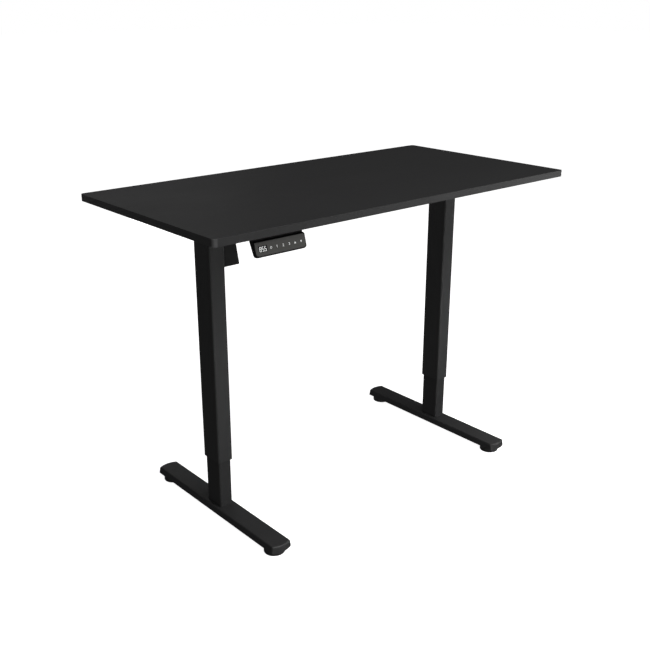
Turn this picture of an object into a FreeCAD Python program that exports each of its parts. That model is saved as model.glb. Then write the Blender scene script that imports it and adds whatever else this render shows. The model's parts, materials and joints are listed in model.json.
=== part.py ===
import FreeCAD, Part
import math
import os
from FreeCAD import Vector

# Height adjustable standing desk: one motor, two columns of two tubes each, one rectangular top.
# Millimetres. X runs along the desk, -Y faces the user, +Z is up, z = 0 is the floor.
# The origin lies on the floor under the middle of the desktop. The model is at its rest height.

# ---- desktop ----
DESK_LENGTH = 1200.0
DESK_DEPTH = 600.0
DESK_THICKNESS = 18.0
DESK_CORNER_RADIUS = 10.0
DESK_TOP_HEIGHT = 855.0
EDGE_BAND_THICKNESS = 1.0
EDGE_EASING = 0.4

# ---- travel of the desktop from the rest height ----
TRAVEL_DOWN = 130.0
TRAVEL_UP = 320.0

# ---- columns ----
COLUMN_SPACING = 840.0
FRAME_Y = -4.0
OUTER_TUBE_X = 45.0
OUTER_TUBE_Y = 70.0
OUTER_TUBE_RADIUS = 5.0
TUBE_WALL = 1.5
GLIDE_WALL_X = 2.0
GLIDE_WALL_Y = 3.0
INNER_TUBE_X = OUTER_TUBE_X - 2 * TUBE_WALL - 2 * GLIDE_WALL_X
INNER_TUBE_Y = OUTER_TUBE_Y - 2 * TUBE_WALL - 2 * GLIDE_WALL_Y
INNER_TUBE_RADIUS = 4.0
COLUMN_GAP_AT_LOWEST = 5.0
TUBE_OVERLAP_AT_HIGHEST = 150.0
SLIDE_CLEARANCE = 0.3
GLIDE_HEIGHT = 40.0
BUSHING_RECESS = 2.0

# ---- feet ----
FOOT_WIDTH = 60.0
FOOT_LENGTH = 540.0
FOOT_END_BULGE = 8.0
FOOT_HEIGHT = 18.4
FOOT_DRAFT = 2.0
FOOT_EDGE_RADIUS = 3.5
FOOT_WALL = 2.5
PAD_INSET = 30.0
PAD_SPACING = FOOT_LENGTH - 2 * PAD_INSET
PAD_HEIGHT = 16.0
PAD_RADIUS = 27.5
PAD_SHOULDER_RADIUS = 24.5
PAD_RIM_HEIGHT = 9.0
PAD_RECESS = 1.2
STEM_RADIUS = 4.0
STEM_COLLAR_RADIUS = 8.0
STEM_COLLAR_HEIGHT = 2.5
STEM_REACH = 14.0
NUT_PLATE_SIZE = 40.0
NUT_PLATE_THICKNESS = 3.0
WELD_NUT_FLATS = 13.0
WELD_NUT_HEIGHT = 6.0
THREAD_CLEARANCE = 0.08

# ---- lower end block of each inner tube and its screws ----
END_BLOCK_HEIGHT = 8.0
END_SCREW_INSET_X = 8.5
END_SCREW_INSET_Y = 11.0
M6_RADIUS = 3.0
M6_HEAD_RADIUS = 5.0
M6_HEAD_HEIGHT = 3.5
M6_HOLE_CLEARANCE = 0.25

# ---- lead screws, nuts and mitre gears ----
SCREW_RADIUS = 6.0
RUNNING_CLEARANCE = 0.05
SCREW_END_GAP = 5.0
NUT_RADIUS = 12.0
NUT_HEIGHT = 30.0
NUT_FLANGE_RADIUS = 16.0
NUT_FLANGE_HEIGHT = 4.0
CARRIER_HEIGHT = 20.0
JOURNAL_RADIUS = 4.0
SHOULDER_GAP = 0.1
BEARING_RADIUS = 11.0
BEARING_HEIGHT = 6.0
PLATE_HOLE_CLEARANCE = 0.6
GEAR_TEETH = 16
GEAR_PITCH_RADIUS = 12.0
GEAR_FACE = 5.0
GEAR_ADDENDUM = 1.2
GEAR_DEDENDUM = 1.7
GEAR_GAP_SHARE = 0.6
GEAR_PRESSURE_ANGLE = 20.0
GEAR_HUB_RADIUS = 8.0
GEAR_SEAT_ROOM = 4.0
GEAR_HEAD_ROOM = 2.0
SHAFT_RISE = BEARING_HEIGHT + GEAR_SEAT_ROOM + GEAR_PITCH_RADIUS
HOUSING_WALL = 3.0
HOUSING_LID = 2.5
HOUSING_HEIGHT = SHAFT_RISE + GEAR_PITCH_RADIUS + GEAR_HEAD_ROOM + HOUSING_LID
LID_ROOM = 1.5
HOUSING_SIDE_GAP = 4.0
SHAFT_FLATS = 7.0
SHAFT_HOLE_RADIUS = 6.0

# ---- crossbeam rails, top plates and side brackets ----
RAIL_WIDTH = 25.0
RAIL_HEIGHT = HOUSING_HEIGHT + LID_ROOM
RAIL_SPACING = 105.0
RAIL_RADIUS = 3.0
HOUSING_Y = RAIL_SPACING - RAIL_WIDTH - 2 * HOUSING_SIDE_GAP
TOP_PLATE_MARGIN = 10.0
TOP_PLATE_Y = RAIL_SPACING + RAIL_WIDTH + 2 * TOP_PLATE_MARGIN
TOP_PLATE_THICKNESS = 3.0
PLATE_BOLT_INSET = 9.5
RAIL_NUT_FLATS = 10.0
RAIL_NUT_HEIGHT = 5.0
BRACKET_WIDTH = 30.0
BRACKET_EDGE_GAP = 60.0
BRACKET_LENGTH = DESK_DEPTH - 2 * BRACKET_EDGE_GAP
BRACKET_END_HEIGHT = 13.0
BRACKET_FLAT_LENGTH = 150.0
BRACKET_WALL = 2.5
BRACKET_OFFSET = 15.0
WOOD_SCREW_RADIUS = 2.5
WOOD_SCREW_HEAD_RADIUS = 5.0
WOOD_SCREW_HEAD_HEIGHT = 2.5
WOOD_SCREW_REACH = 13.0
WOOD_SCREW_OUTER = BRACKET_LENGTH / 2 - 25.0
WOOD_SCREW_INNER = 110.0

# ---- motor, its gearbox and its cover ----
MOTOR_RADIUS = 18.0
GEARBOX_MARGIN = 1.5
MOTOR_GEARBOX_X = 2 * MOTOR_RADIUS + GEARBOX_MARGIN
MOTOR_GEARBOX_Y = 2 * MOTOR_RADIUS
MOTOR_GEARBOX_DROP = 65.0
SLEEVE_RADIUS = 9.0
MOTOR_LENGTH = 66.0
MOTOR_NOSE_RADIUS = 8.0
MOTOR_NOSE_LENGTH = 4.0
MOTOR_SCREW_RADIUS = 2.0
MOTOR_SCREW_HEAD_RADIUS = 3.5
MOTOR_SCREW_HEAD_HEIGHT = 2.5
MOTOR_SCREW_INSET = 4.5
MOTOR_SCREW_BITE = 2.0
COVER_FLOOR_ROOM = 5.0
COVER_BOTTOM_DROP = MOTOR_GEARBOX_DROP + MOTOR_LENGTH + MOTOR_NOSE_LENGTH + COVER_FLOOR_ROOM
COVER_REACH = 11.5
COVER_BOTTOM_X = MOTOR_GEARBOX_X + COVER_REACH
COVER_SIDE_ROOM = 12.0
COVER_BOTTOM_Y = MOTOR_GEARBOX_Y + 2 * COVER_SIDE_ROOM
COVER_DRAFT = 0.093
COVER_HEIGHT = COVER_BOTTOM_DROP - RAIL_HEIGHT - TOP_PLATE_THICKNESS
COVER_WALL = 2.0
COVER_RADIUS = 6.0
COVER_GAP = 0.5
COVER_SCREW_DROP = 52.0

# ---- control box ----
CONTROL_X = 230.0
CONTROL_Y = 105.0
CONTROL_Z = 34.0
CONTROL_CENTRE_X = 60.0
CONTROL_BACK_GAP = 12.0
CONTROL_RADIUS = 5.0
CONTROL_EAR = 14.0
CONTROL_EAR_THICKNESS = 3.0
CONTROL_WALL = 2.5
CONTROL_BASE = 3.0
INLET_X = 28.0
INLET_Z = 20.0
INLET_DEPTH = 16.0
INLET_SHELL = 1.5
SOCKET_X = 12.0
SOCKET_Z = 9.0
SOCKET_DEPTH = 13.0
SOCKET_SPACING = 24.0
PIN_WIDTH = 4.0
PIN_THICKNESS = 2.0
PIN_LENGTH = 10.0
PIN_SPACING = 8.0

# ---- handset ----
HANDSET_LENGTH = 140.0
HANDSET_INSET = 110.0
HANDSET_CENTRE_X = -DESK_LENGTH / 2 + HANDSET_INSET + HANDSET_LENGTH / 2
HANDSET_TOP_DROP = 11.0
HANDSET_FACE_HEIGHT = 31.0
HANDSET_FACE_LEAN = 16.4
HANDSET_SETBACK = 2.7
HANDSET_TOP_DEPTH = 17.5
HANDSET_BOTTOM_DEPTH = 11.0
HANDSET_FLANGE_DEPTH = 42.0
HANDSET_FLANGE_THICKNESS = 3.0
HANDSET_NECK_INSET = 8.0
HANDSET_CORNER_RADIUS = 8.0
FACE_PANEL_THICKNESS = 1.2
FACE_PANEL_MARGIN = 0.5
DISPLAY_LENGTH = 24.0
DISPLAY_HEIGHT = 14.0
DISPLAY_INSET = 20.5
DISPLAY_OFFSET = DISPLAY_INSET - HANDSET_LENGTH / 2
DISPLAY_DEPTH = 0.8
SMALL_SCREW_RADIUS = 1.75
SMALL_SCREW_HEAD_RADIUS = 3.5
SMALL_SCREW_HEAD_HEIGHT = 2.2
SMALL_SCREW_REACH = 10.0
GLAND_RADIUS = 4.0
GLAND_HOLE_RADIUS = 1.8
GLAND_LENGTH = 5.0

# ---- levels worked out from the sizes above ----
DESK_UNDERSIDE = DESK_TOP_HEIGHT - DESK_THICKNESS
FOOT_BOTTOM = PAD_HEIGHT
FOOT_TOP = FOOT_BOTTOM + FOOT_HEIGHT
RAIL_BOTTOM = DESK_UNDERSIDE - RAIL_HEIGHT
OUTER_TOP = RAIL_BOTTOM - TOP_PLATE_THICKNESS
OUTER_BOTTOM = FOOT_TOP + COLUMN_GAP_AT_LOWEST + TRAVEL_DOWN
INNER_TOP = OUTER_BOTTOM + TRAVEL_UP + TUBE_OVERLAP_AT_HIGHEST
SCREW_BOTTOM = FOOT_TOP + END_BLOCK_HEIGHT + SCREW_END_GAP + TRAVEL_DOWN
SHAFT_Z = RAIL_BOTTOM + SHAFT_RISE
SIDES = {"left": -COLUMN_SPACING / 2, "right": COLUMN_SPACING / 2}
ENDS = {"front": FRAME_Y - PAD_SPACING / 2, "back": FRAME_Y + PAD_SPACING / 2}

X_AXIS = Vector(1, 0, 0)
Y_AXIS = Vector(0, 1, 0)
Z_AXIS = Vector(0, 0, 1)
ORIGIN = Vector(0, 0, 0)


def save(name, shape):
    """Write one sub-part as its own STEP file."""
    shape.exportStep("parts/" + name + ".step")


def group(solids):
    """Several separate solids that share one node."""
    return Part.makeCompound(solids)


def block(x0, x1, y0, y1, z0, z1):
    """A box between two corners."""
    return Part.makeBox(x1 - x0, y1 - y0, z1 - z0, Vector(x0, y0, z0))


def block_at(cx, cy, size_x, size_y, z0, z1):
    """A box centred on a point in plan."""
    return block(cx - size_x / 2, cx + size_x / 2, cy - size_y / 2, cy + size_y / 2, z0, z1)


def edges_along(shape, axis):
    """The straight edges of a shape that run along an axis."""
    found = []
    for edge in shape.Edges:
        if isinstance(edge.Curve, (Part.Line, Part.LineSegment)):
            if abs(edge.tangentAt(edge.FirstParameter).dot(axis)) > 0.999:
                found.append(edge)
    return found


def rounded_block(cx, cy, size_x, size_y, z0, z1, radius):
    """A box centred in plan with rounded upright edges."""
    solid = block_at(cx, cy, size_x, size_y, z0, z1)
    return solid.makeFillet(radius, edges_along(solid, Z_AXIS))


def ring_block(cx, cy, outer, inner, z0, z1, outer_radius, inner_radius):
    """A rectangular ring: outer and inner are (x, y) sizes."""
    solid = rounded_block(cx, cy, outer[0], outer[1], z0, z1, outer_radius)
    return solid.cut(rounded_block(cx, cy, inner[0], inner[1], z0 - 1, z1 + 1, inner_radius))


def disc(cx, cy, radius, z0, z1):
    """An upright cylinder."""
    return Part.makeCylinder(radius, z1 - z0, Vector(cx, cy, z0))


def rod_x(x0, x1, y, z, radius):
    """A cylinder along X."""
    return Part.makeCylinder(radius, x1 - x0, Vector(x0, y, z), X_AXIS)


def prism(points, direction):
    """A flat outline pushed along a direction."""
    return Part.Face(Part.makePolygon(points + [points[0]])).extrude(direction)


def hexagon(flats, length, turn=0.0):
    """A hexagonal bar along +Z from the origin, given across its flats."""
    reach = flats / math.sqrt(3)
    points = []
    for corner in range(6):
        angle = math.radians(60 * corner + turn)
        points.append(Vector(reach * math.cos(angle), reach * math.sin(angle), 0))
    return prism(points, Vector(0, 0, length))


def hex_rod_x(x0, x1, flats):
    """A hexagonal bar along X on the drive shaft's line."""
    bar = hexagon(flats, x1 - x0, 30.0)
    bar.rotate(ORIGIN, Y_AXIS, 90)
    bar.translate(Vector(x0, FRAME_Y, SHAFT_Z))
    return bar


# ---------------------------------------------------------------- desktop

def bracket_places():
    """Plan positions of the screws that hold the desktop to the side brackets."""
    places = []
    for side in SIDES:
        for y in (-WOOD_SCREW_OUTER, -WOOD_SCREW_INNER, WOOD_SCREW_INNER, WOOD_SCREW_OUTER):
            places.append((bracket_centre(side), FRAME_Y + y))
    return places


def small_screw_places():
    """Plan positions and heights of the seats of the screws for handset and control box."""
    places = []
    flange_y = handset_flange_y()
    for x in (-HANDSET_LENGTH / 3, HANDSET_LENGTH / 3):
        places.append((HANDSET_CENTRE_X + x, flange_y, DESK_UNDERSIDE - HANDSET_FLANGE_THICKNESS))
    ear_reach = CONTROL_X / 2 + CONTROL_EAR / 2
    for x in (-ear_reach, ear_reach):
        for y in (-CONTROL_Y / 4, CONTROL_Y / 4):
            seat = DESK_UNDERSIDE - CONTROL_EAR_THICKNESS
            places.append((CONTROL_CENTRE_X + x, control_centre_y() + y, seat))
    return places


def desktop_board():
    """The chipboard core, with pilot holes for every screw that goes up into it."""
    core_x = DESK_LENGTH - 2 * EDGE_BAND_THICKNESS
    core_y = DESK_DEPTH - 2 * EDGE_BAND_THICKNESS
    radius = DESK_CORNER_RADIUS - EDGE_BAND_THICKNESS
    board = rounded_block(0, 0, core_x, core_y, DESK_UNDERSIDE, DESK_TOP_HEIGHT, radius)
    for x, y in bracket_places():
        top = DESK_UNDERSIDE + WOOD_SCREW_REACH
        board = board.cut(disc(x, y, WOOD_SCREW_RADIUS, DESK_UNDERSIDE - 1, top))
    for x, y, seat in small_screw_places():
        top = DESK_UNDERSIDE + SMALL_SCREW_REACH
        board = board.cut(disc(x, y, SMALL_SCREW_RADIUS, DESK_UNDERSIDE - 1, top))
    return board


def edge_band():
    """The thin plastic band glued round the desktop's edge, its outer rims eased."""
    size = (DESK_LENGTH, DESK_DEPTH)
    core = (DESK_LENGTH - 2 * EDGE_BAND_THICKNESS, DESK_DEPTH - 2 * EDGE_BAND_THICKNESS)
    outer = rounded_block(0, 0, size[0], size[1], DESK_UNDERSIDE, DESK_TOP_HEIGHT, DESK_CORNER_RADIUS)
    rims = []
    for edge in outer.Edges:
        low = edge.BoundBox.ZMin
        high = edge.BoundBox.ZMax
        if high - low < 0.001:
            rims.append(edge)
    outer = outer.makeFillet(EDGE_EASING, rims)
    radius = DESK_CORNER_RADIUS - EDGE_BAND_THICKNESS
    return outer.cut(rounded_block(0, 0, core[0], core[1], DESK_UNDERSIDE - 1, DESK_TOP_HEIGHT + 1, radius))


def upright_screw(x, y, seat, reach_top, radius, head_radius, head_height):
    """A screw driven upwards: its head hangs below the seat."""
    head = disc(x, y, head_radius, seat - head_height, seat)
    head = head.makeFillet(head_height / 3, [e for e in head.Edges if e.BoundBox.ZMax < seat - 0.01])
    return head.fuse(disc(x, y, radius, seat, reach_top)).removeSplitter()


def desktop_screws():
    """The screws through the side brackets into the desktop."""
    seat = DESK_UNDERSIDE - BRACKET_WALL
    top = DESK_UNDERSIDE + WOOD_SCREW_REACH
    screws = []
    for x, y in bracket_places():
        screws.append(upright_screw(x, y, seat, top, WOOD_SCREW_RADIUS,
                                    WOOD_SCREW_HEAD_RADIUS, WOOD_SCREW_HEAD_HEIGHT))
    return group(screws)


def small_screws():
    """The screws that hold the handset and the control box."""
    screws = []
    for x, y, seat in small_screw_places():
        screws.append(upright_screw(x, y, seat, DESK_UNDERSIDE + SMALL_SCREW_REACH, SMALL_SCREW_RADIUS,
                                    SMALL_SCREW_HEAD_RADIUS, SMALL_SCREW_HEAD_HEIGHT))
    return group(screws)


# ---------------------------------------------------------------- columns

def outer_bore():
    """The inside sizes of an outer tube."""
    return (OUTER_TUBE_X - 2 * TUBE_WALL, OUTER_TUBE_Y - 2 * TUBE_WALL)


def inner_bore():
    """The inside sizes of an inner tube."""
    return (INNER_TUBE_X - 2 * TUBE_WALL, INNER_TUBE_Y - 2 * TUBE_WALL)


def outer_tube(side):
    """The wide upper tube, which travels with the desktop."""
    return ring_block(SIDES[side], FRAME_Y, (OUTER_TUBE_X, OUTER_TUBE_Y), outer_bore(),
                      OUTER_BOTTOM, OUTER_TOP, OUTER_TUBE_RADIUS, OUTER_TUBE_RADIUS - TUBE_WALL)


def inner_tube(side):
    """The narrow lower tube, which stands on the foot."""
    return ring_block(SIDES[side], FRAME_Y, (INNER_TUBE_X, INNER_TUBE_Y), inner_bore(),
                      FOOT_TOP, INNER_TOP, INNER_TUBE_RADIUS, INNER_TUBE_RADIUS - TUBE_WALL)


def lower_bushing(side):
    """The plastic guide fixed in the mouth of the outer tube."""
    opening = (INNER_TUBE_X + 2 * SLIDE_CLEARANCE, INNER_TUBE_Y + 2 * SLIDE_CLEARANCE)
    bottom = OUTER_BOTTOM + BUSHING_RECESS
    return ring_block(SIDES[side], FRAME_Y, outer_bore(), opening, bottom, bottom + GLIDE_HEIGHT,
                      OUTER_TUBE_RADIUS - TUBE_WALL, INNER_TUBE_RADIUS + SLIDE_CLEARANCE)


def inner_glide(side):
    """The plastic guide clipped round the top of the inner tube."""
    bore = outer_bore()
    size = (bore[0] - 2 * SLIDE_CLEARANCE, bore[1] - 2 * SLIDE_CLEARANCE)
    return ring_block(SIDES[side], FRAME_Y, size, (INNER_TUBE_X, INNER_TUBE_Y),
                      INNER_TOP - GLIDE_HEIGHT, INNER_TOP,
                      OUTER_TUBE_RADIUS - TUBE_WALL - SLIDE_CLEARANCE, INNER_TUBE_RADIUS)


def end_screw_places(side):
    """Plan positions of the screws between a foot and its column."""
    places = []
    bore = inner_bore()
    half_x = bore[0] / 2 - END_SCREW_INSET_X
    half_y = bore[1] / 2 - END_SCREW_INSET_Y
    for x in (-half_x, half_x):
        for y in (-half_y, half_y):
            places.append((SIDES[side] + x, FRAME_Y + y))
    return places


def end_blocks():
    """The tapped steel blocks welded into the inner tubes' lower ends."""
    bore = inner_bore()
    top = FOOT_TOP + END_BLOCK_HEIGHT
    blocks = []
    for side in SIDES:
        solid = rounded_block(SIDES[side], FRAME_Y, bore[0], bore[1], FOOT_TOP, top,
                              INNER_TUBE_RADIUS - TUBE_WALL)
        for x, y in end_screw_places(side):
            solid = solid.cut(disc(x, y, M6_RADIUS, FOOT_TOP - 1, top + 1))
        blocks.append(solid)
    return group(blocks)


def foot_screws():
    """The screws that come up through the feet into the end blocks."""
    screws = []
    seat = FOOT_TOP - FOOT_WALL
    for side in SIDES:
        for x, y in end_screw_places(side):
            screws.append(upright_screw(x, y, seat, FOOT_TOP + END_BLOCK_HEIGHT - 1, M6_RADIUS,
                                        M6_HEAD_RADIUS, M6_HEAD_HEIGHT))
    return group(screws)


# ---------------------------------------------------------------- feet

def foot_outline(cx, width, length, bulge, z):
    """A closed outline with straight sides and convex arcs at both ends."""
    left = cx - width / 2
    right = cx + width / 2
    front = FRAME_Y - length / 2
    back = FRAME_Y + length / 2
    corners = [Vector(left, front, z), Vector(right, front, z), Vector(right, back, z), Vector(left, back, z)]
    return Part.Wire([
        Part.Arc(corners[0], Vector(cx, front - bulge, z), corners[1]).toShape(),
        Part.LineSegment(corners[1], corners[2]).toShape(),
        Part.Arc(corners[2], Vector(cx, back + bulge, z), corners[3]).toShape(),
        Part.LineSegment(corners[3], corners[0]).toShape(),
    ])


def foot_shell(side, inset, z0, z1):
    """The foot's drafted outside, moved inwards by inset, between two levels."""
    wires = []
    for z in (z0, z1):
        narrowing = FOOT_DRAFT * (z - FOOT_BOTTOM) / FOOT_HEIGHT + inset
        wires.append(foot_outline(SIDES[side], FOOT_WIDTH - 2 * narrowing, FOOT_LENGTH - 2 * narrowing,
                                  FOOT_END_BULGE, z))
    return Part.makeLoft(wires, True, True)


def foot(side):
    """A pressed steel foot: a shallow drafted channel, closed above and open below."""
    solid = foot_shell(side, 0.0, FOOT_BOTTOM, FOOT_TOP)
    rim = [e for e in solid.Edges if e.BoundBox.ZMin > FOOT_TOP - 0.01]
    solid = solid.makeFillet(FOOT_EDGE_RADIUS, rim)
    solid = solid.cut(foot_shell(side, FOOT_WALL, FOOT_BOTTOM - 1, FOOT_TOP - FOOT_WALL))
    for x, y in end_screw_places(side):
        hole = M6_RADIUS + M6_HOLE_CLEARANCE
        solid = solid.cut(disc(x, y, hole, FOOT_TOP - 2 * FOOT_WALL, FOOT_TOP + 1))
    return solid


def levelling_nut_plates():
    """The four plates with weld nuts that close the feet above the levelling pads."""
    plates = []
    for side in SIDES:
        for y in ENDS.values():
            top = FOOT_BOTTOM + NUT_PLATE_THICKNESS
            slab = block_at(SIDES[side], y, FOOT_WIDTH, NUT_PLATE_SIZE, FOOT_BOTTOM, top)
            plate = slab.common(foot_shell(side, FOOT_WALL, FOOT_BOTTOM - 1, FOOT_TOP - FOOT_WALL))
            nut = hexagon(WELD_NUT_FLATS, WELD_NUT_HEIGHT)
            nut.translate(Vector(SIDES[side], y, top))
            plate = plate.fuse(nut).removeSplitter()
            hole = STEM_RADIUS + THREAD_CLEARANCE
            plates.append(plate.cut(disc(SIDES[side], y, hole, FOOT_BOTTOM - 1, FOOT_TOP)))
    return group(plates)


def pad_profile_points(cx, cy):
    """Half section of a pad's cup, from its axis outwards, as (radius, height) steps."""
    top = PAD_HEIGHT - THREAD_CLEARANCE
    steps = [
        (STEM_RADIUS, 0.0),
        (PAD_RADIUS - PAD_RECESS, 0.0),
        (PAD_RADIUS, PAD_RECESS),
        (PAD_RADIUS, PAD_RIM_HEIGHT),
        (PAD_SHOULDER_RADIUS, top),
        (STEM_COLLAR_RADIUS, top),
        (STEM_COLLAR_RADIUS, top - STEM_COLLAR_HEIGHT),
        (STEM_RADIUS, top - STEM_COLLAR_HEIGHT),
    ]
    return [Vector(cx + radius, cy, z) for radius, z in steps]


def levelling_pad(side, end):
    """The round plastic pad that stands on the floor."""
    cx = SIDES[side]
    cy = ENDS[end]
    points = pad_profile_points(cx, cy)
    section = Part.Face(Part.makePolygon(points + [points[0]]))
    return section.revolve(Vector(cx, cy, 0), Z_AXIS, 360)


def levelling_stem(side, end):
    """The threaded stem moulded into the pad, with its round collar."""
    cx = SIDES[side]
    cy = ENDS[end]
    top = PAD_HEIGHT - THREAD_CLEARANCE
    collar = disc(cx, cy, STEM_COLLAR_RADIUS, top - STEM_COLLAR_HEIGHT, top)
    stem = disc(cx, cy, STEM_RADIUS, PAD_RECESS, top + STEM_REACH)
    tip = [e for e in stem.Edges if e.BoundBox.ZMin > top + STEM_REACH - 0.01]
    return stem.makeChamfer(0.6, tip).fuse(collar).removeSplitter()


# ---------------------------------------------------------------- top frame

def bracket_centre(side):
    """The x of a side bracket's middle, outboard of its column."""
    outboard = OUTER_TUBE_X / 2 + BRACKET_OFFSET + BRACKET_WIDTH / 2
    return SIDES[side] + math.copysign(outboard, SIDES[side])


def rail_y(place):
    """The y of a rail's middle."""
    return FRAME_Y + {"front": -RAIL_SPACING / 2, "back": RAIL_SPACING / 2}[place]


def plate_bolt_places(side):
    """Plan positions of the bolts between a column's top plate and the rails."""
    places = []
    half = OUTER_TUBE_X / 2 - PLATE_BOLT_INSET
    for x in (-half, half):
        for place in ("front", "back"):
            places.append((SIDES[side] + x, rail_y(place)))
    return places


def rail(place):
    """One of the two box-section rails that run between the side brackets."""
    end = bracket_centre("right") - BRACKET_WIDTH / 2
    y = rail_y(place)
    outside = block(-end, end, y - RAIL_WIDTH / 2, y + RAIL_WIDTH / 2, RAIL_BOTTOM, DESK_UNDERSIDE)
    outside = outside.makeFillet(RAIL_RADIUS, edges_along(outside, X_AXIS))
    inside = block(-end - 1, end + 1, y - RAIL_WIDTH / 2 + TUBE_WALL, y + RAIL_WIDTH / 2 - TUBE_WALL,
                   RAIL_BOTTOM + TUBE_WALL, DESK_UNDERSIDE - TUBE_WALL)
    inside = inside.makeFillet(RAIL_RADIUS - TUBE_WALL, edges_along(inside, X_AXIS))
    solid = outside.cut(inside)
    for side in SIDES:
        for x, bolt_y in plate_bolt_places(side):
            if abs(bolt_y - y) < 1:
                hole = M6_RADIUS + M6_HOLE_CLEARANCE
                solid = solid.cut(disc(x, y, hole, RAIL_BOTTOM - 1, RAIL_BOTTOM + 2 * TUBE_WALL))
    return solid


def rail_nuts():
    """The hexagon nuts inside the rails, above the top plates."""
    nuts = []
    for side in SIDES:
        for x, y in plate_bolt_places(side):
            nut = hexagon(RAIL_NUT_FLATS, RAIL_NUT_HEIGHT)
            nut.translate(Vector(x, y, RAIL_BOTTOM + TUBE_WALL))
            nuts.append(nut.cut(disc(x, y, M6_RADIUS, RAIL_BOTTOM, RAIL_BOTTOM + 2 * RAIL_NUT_HEIGHT)))
    return group(nuts)


def frame_bolts():
    """The bolts up through the top plates into the rail nuts."""
    bolts = []
    for side in SIDES:
        for x, y in plate_bolt_places(side):
            top = RAIL_BOTTOM + TUBE_WALL + RAIL_NUT_HEIGHT + 2
            bolts.append(upright_screw(x, y, OUTER_TOP, top, M6_RADIUS, M6_HEAD_RADIUS, M6_HEAD_HEIGHT))
    return group(bolts)


def column_top_plate(side):
    """The plate welded on the outer tube, which carries the rails and the gear housing."""
    cx = SIDES[side]
    solid = rounded_block(cx, FRAME_Y, OUTER_TUBE_X, TOP_PLATE_Y, OUTER_TOP, RAIL_BOTTOM, OUTER_TUBE_RADIUS)
    solid = solid.cut(disc(cx, FRAME_Y, SCREW_RADIUS + PLATE_HOLE_CLEARANCE, OUTER_TOP - 1, RAIL_BOTTOM + 1))
    for x, y in plate_bolt_places(side):
        hole = M6_RADIUS + M6_HOLE_CLEARANCE
        solid = solid.cut(disc(x, y, hole, OUTER_TOP - 1, RAIL_BOTTOM + 1))
    return solid


def bracket_side_points(x, wall):
    """The bracket's side view, moved inwards by the wall for the hollow below its top."""
    reach = BRACKET_LENGTH / 2 - wall
    flat = BRACKET_FLAT_LENGTH / 2
    top = DESK_UNDERSIDE - wall
    low = DESK_UNDERSIDE - RAIL_HEIGHT
    tip = DESK_UNDERSIDE - BRACKET_END_HEIGHT
    if wall > 0:
        low = low - 1
        tip = tip - 1
    return [
        Vector(x, FRAME_Y - reach, top),
        Vector(x, FRAME_Y + reach, top),
        Vector(x, FRAME_Y + reach, tip),
        Vector(x, FRAME_Y + flat, low),
        Vector(x, FRAME_Y - flat, low),
        Vector(x, FRAME_Y - reach, tip),
    ]


def side_bracket(side):
    """A channel arm under the desktop that thins towards both ends and is open below."""
    x0 = bracket_centre(side) - BRACKET_WIDTH / 2
    solid = prism(bracket_side_points(x0, 0.0), Vector(BRACKET_WIDTH, 0, 0))
    hollow = prism(bracket_side_points(x0 + BRACKET_WALL, BRACKET_WALL),
                   Vector(BRACKET_WIDTH - 2 * BRACKET_WALL, 0, 0))
    solid = solid.cut(hollow)
    for x, y in bracket_places():
        if abs(x - bracket_centre(side)) < 1:
            solid = solid.cut(disc(x, y, WOOD_SCREW_RADIUS, DESK_UNDERSIDE - 2 * BRACKET_WALL,
                                   DESK_UNDERSIDE + 1))
    return solid


# ---------------------------------------------------------------- lift drive

def mitre_gear(hub_length, bore_radius, turn):
    """A mitre gear below its apex at the origin, axis along Z, with straight tapering teeth."""
    slope = math.sqrt(0.5)
    share = 1 - GEAR_FACE * slope / GEAR_PITCH_RADIUS
    tip_r = GEAR_PITCH_RADIUS + GEAR_ADDENDUM * slope
    tip_z = -GEAR_PITCH_RADIUS + GEAR_ADDENDUM * slope
    root_r = GEAR_PITCH_RADIUS - GEAR_DEDENDUM * slope
    root_z = -GEAR_PITCH_RADIUS - GEAR_DEDENDUM * slope
    outline = [
        (bore_radius, tip_z * share),
        (tip_r * share, tip_z * share),
        (tip_r, tip_z),
        (root_r, root_z),
        (GEAR_HUB_RADIUS, root_z),
        (GEAR_HUB_RADIUS, root_z - hub_length),
        (bore_radius, root_z - hub_length),
    ]
    points = [Vector(r, 0, z) for r, z in outline]
    blank = Part.Face(Part.makePolygon(points + [points[0]])).revolve(ORIGIN, Z_AXIS, 360)
    pitch_gap = GEAR_GAP_SHARE * 2 * math.pi * GEAR_PITCH_RADIUS / GEAR_TEETH
    flare = math.tan(math.radians(GEAR_PRESSURE_ANGLE))
    over_tip = 2 * GEAR_ADDENDUM
    sections = []
    for scale in (share / 2, 2 - share):
        corners = []
        for rise, sign in ((-GEAR_DEDENDUM, -1), (-GEAR_DEDENDUM, 1), (over_tip, 1), (over_tip, -1)):
            half = pitch_gap / 2 + rise * flare
            corner = Vector(GEAR_PITCH_RADIUS + rise * slope, sign * half, -GEAR_PITCH_RADIUS + rise * slope)
            corners.append(corner * scale)
        sections.append(Part.makePolygon(corners + [corners[0]]))
    gap = Part.makeLoft(sections, True, True)
    gap.rotate(ORIGIN, Z_AXIS, turn)
    gaps = []
    for tooth in range(GEAR_TEETH):
        cutter = gap.copy()
        cutter.rotate(ORIGIN, Z_AXIS, tooth * 360.0 / GEAR_TEETH)
        gaps.append(cutter)
    return blank.cut(gaps)


def gear_back():
    """How far a mitre gear's back lies from its apex."""
    return GEAR_PITCH_RADIUS + GEAR_DEDENDUM * math.sqrt(0.5)


def bearing_top():
    """The level of the upper face of a lead screw's bearing."""
    return RAIL_BOTTOM + BEARING_HEIGHT


def screw_gear(side):
    """The mitre gear on the lead screw's journal."""
    hub = SHAFT_Z - gear_back() - bearing_top() - SHOULDER_GAP
    gear = mitre_gear(hub, JOURNAL_RADIUS, 0.0)
    gear.translate(Vector(SIDES[side], FRAME_Y, SHAFT_Z))
    return gear


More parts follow.
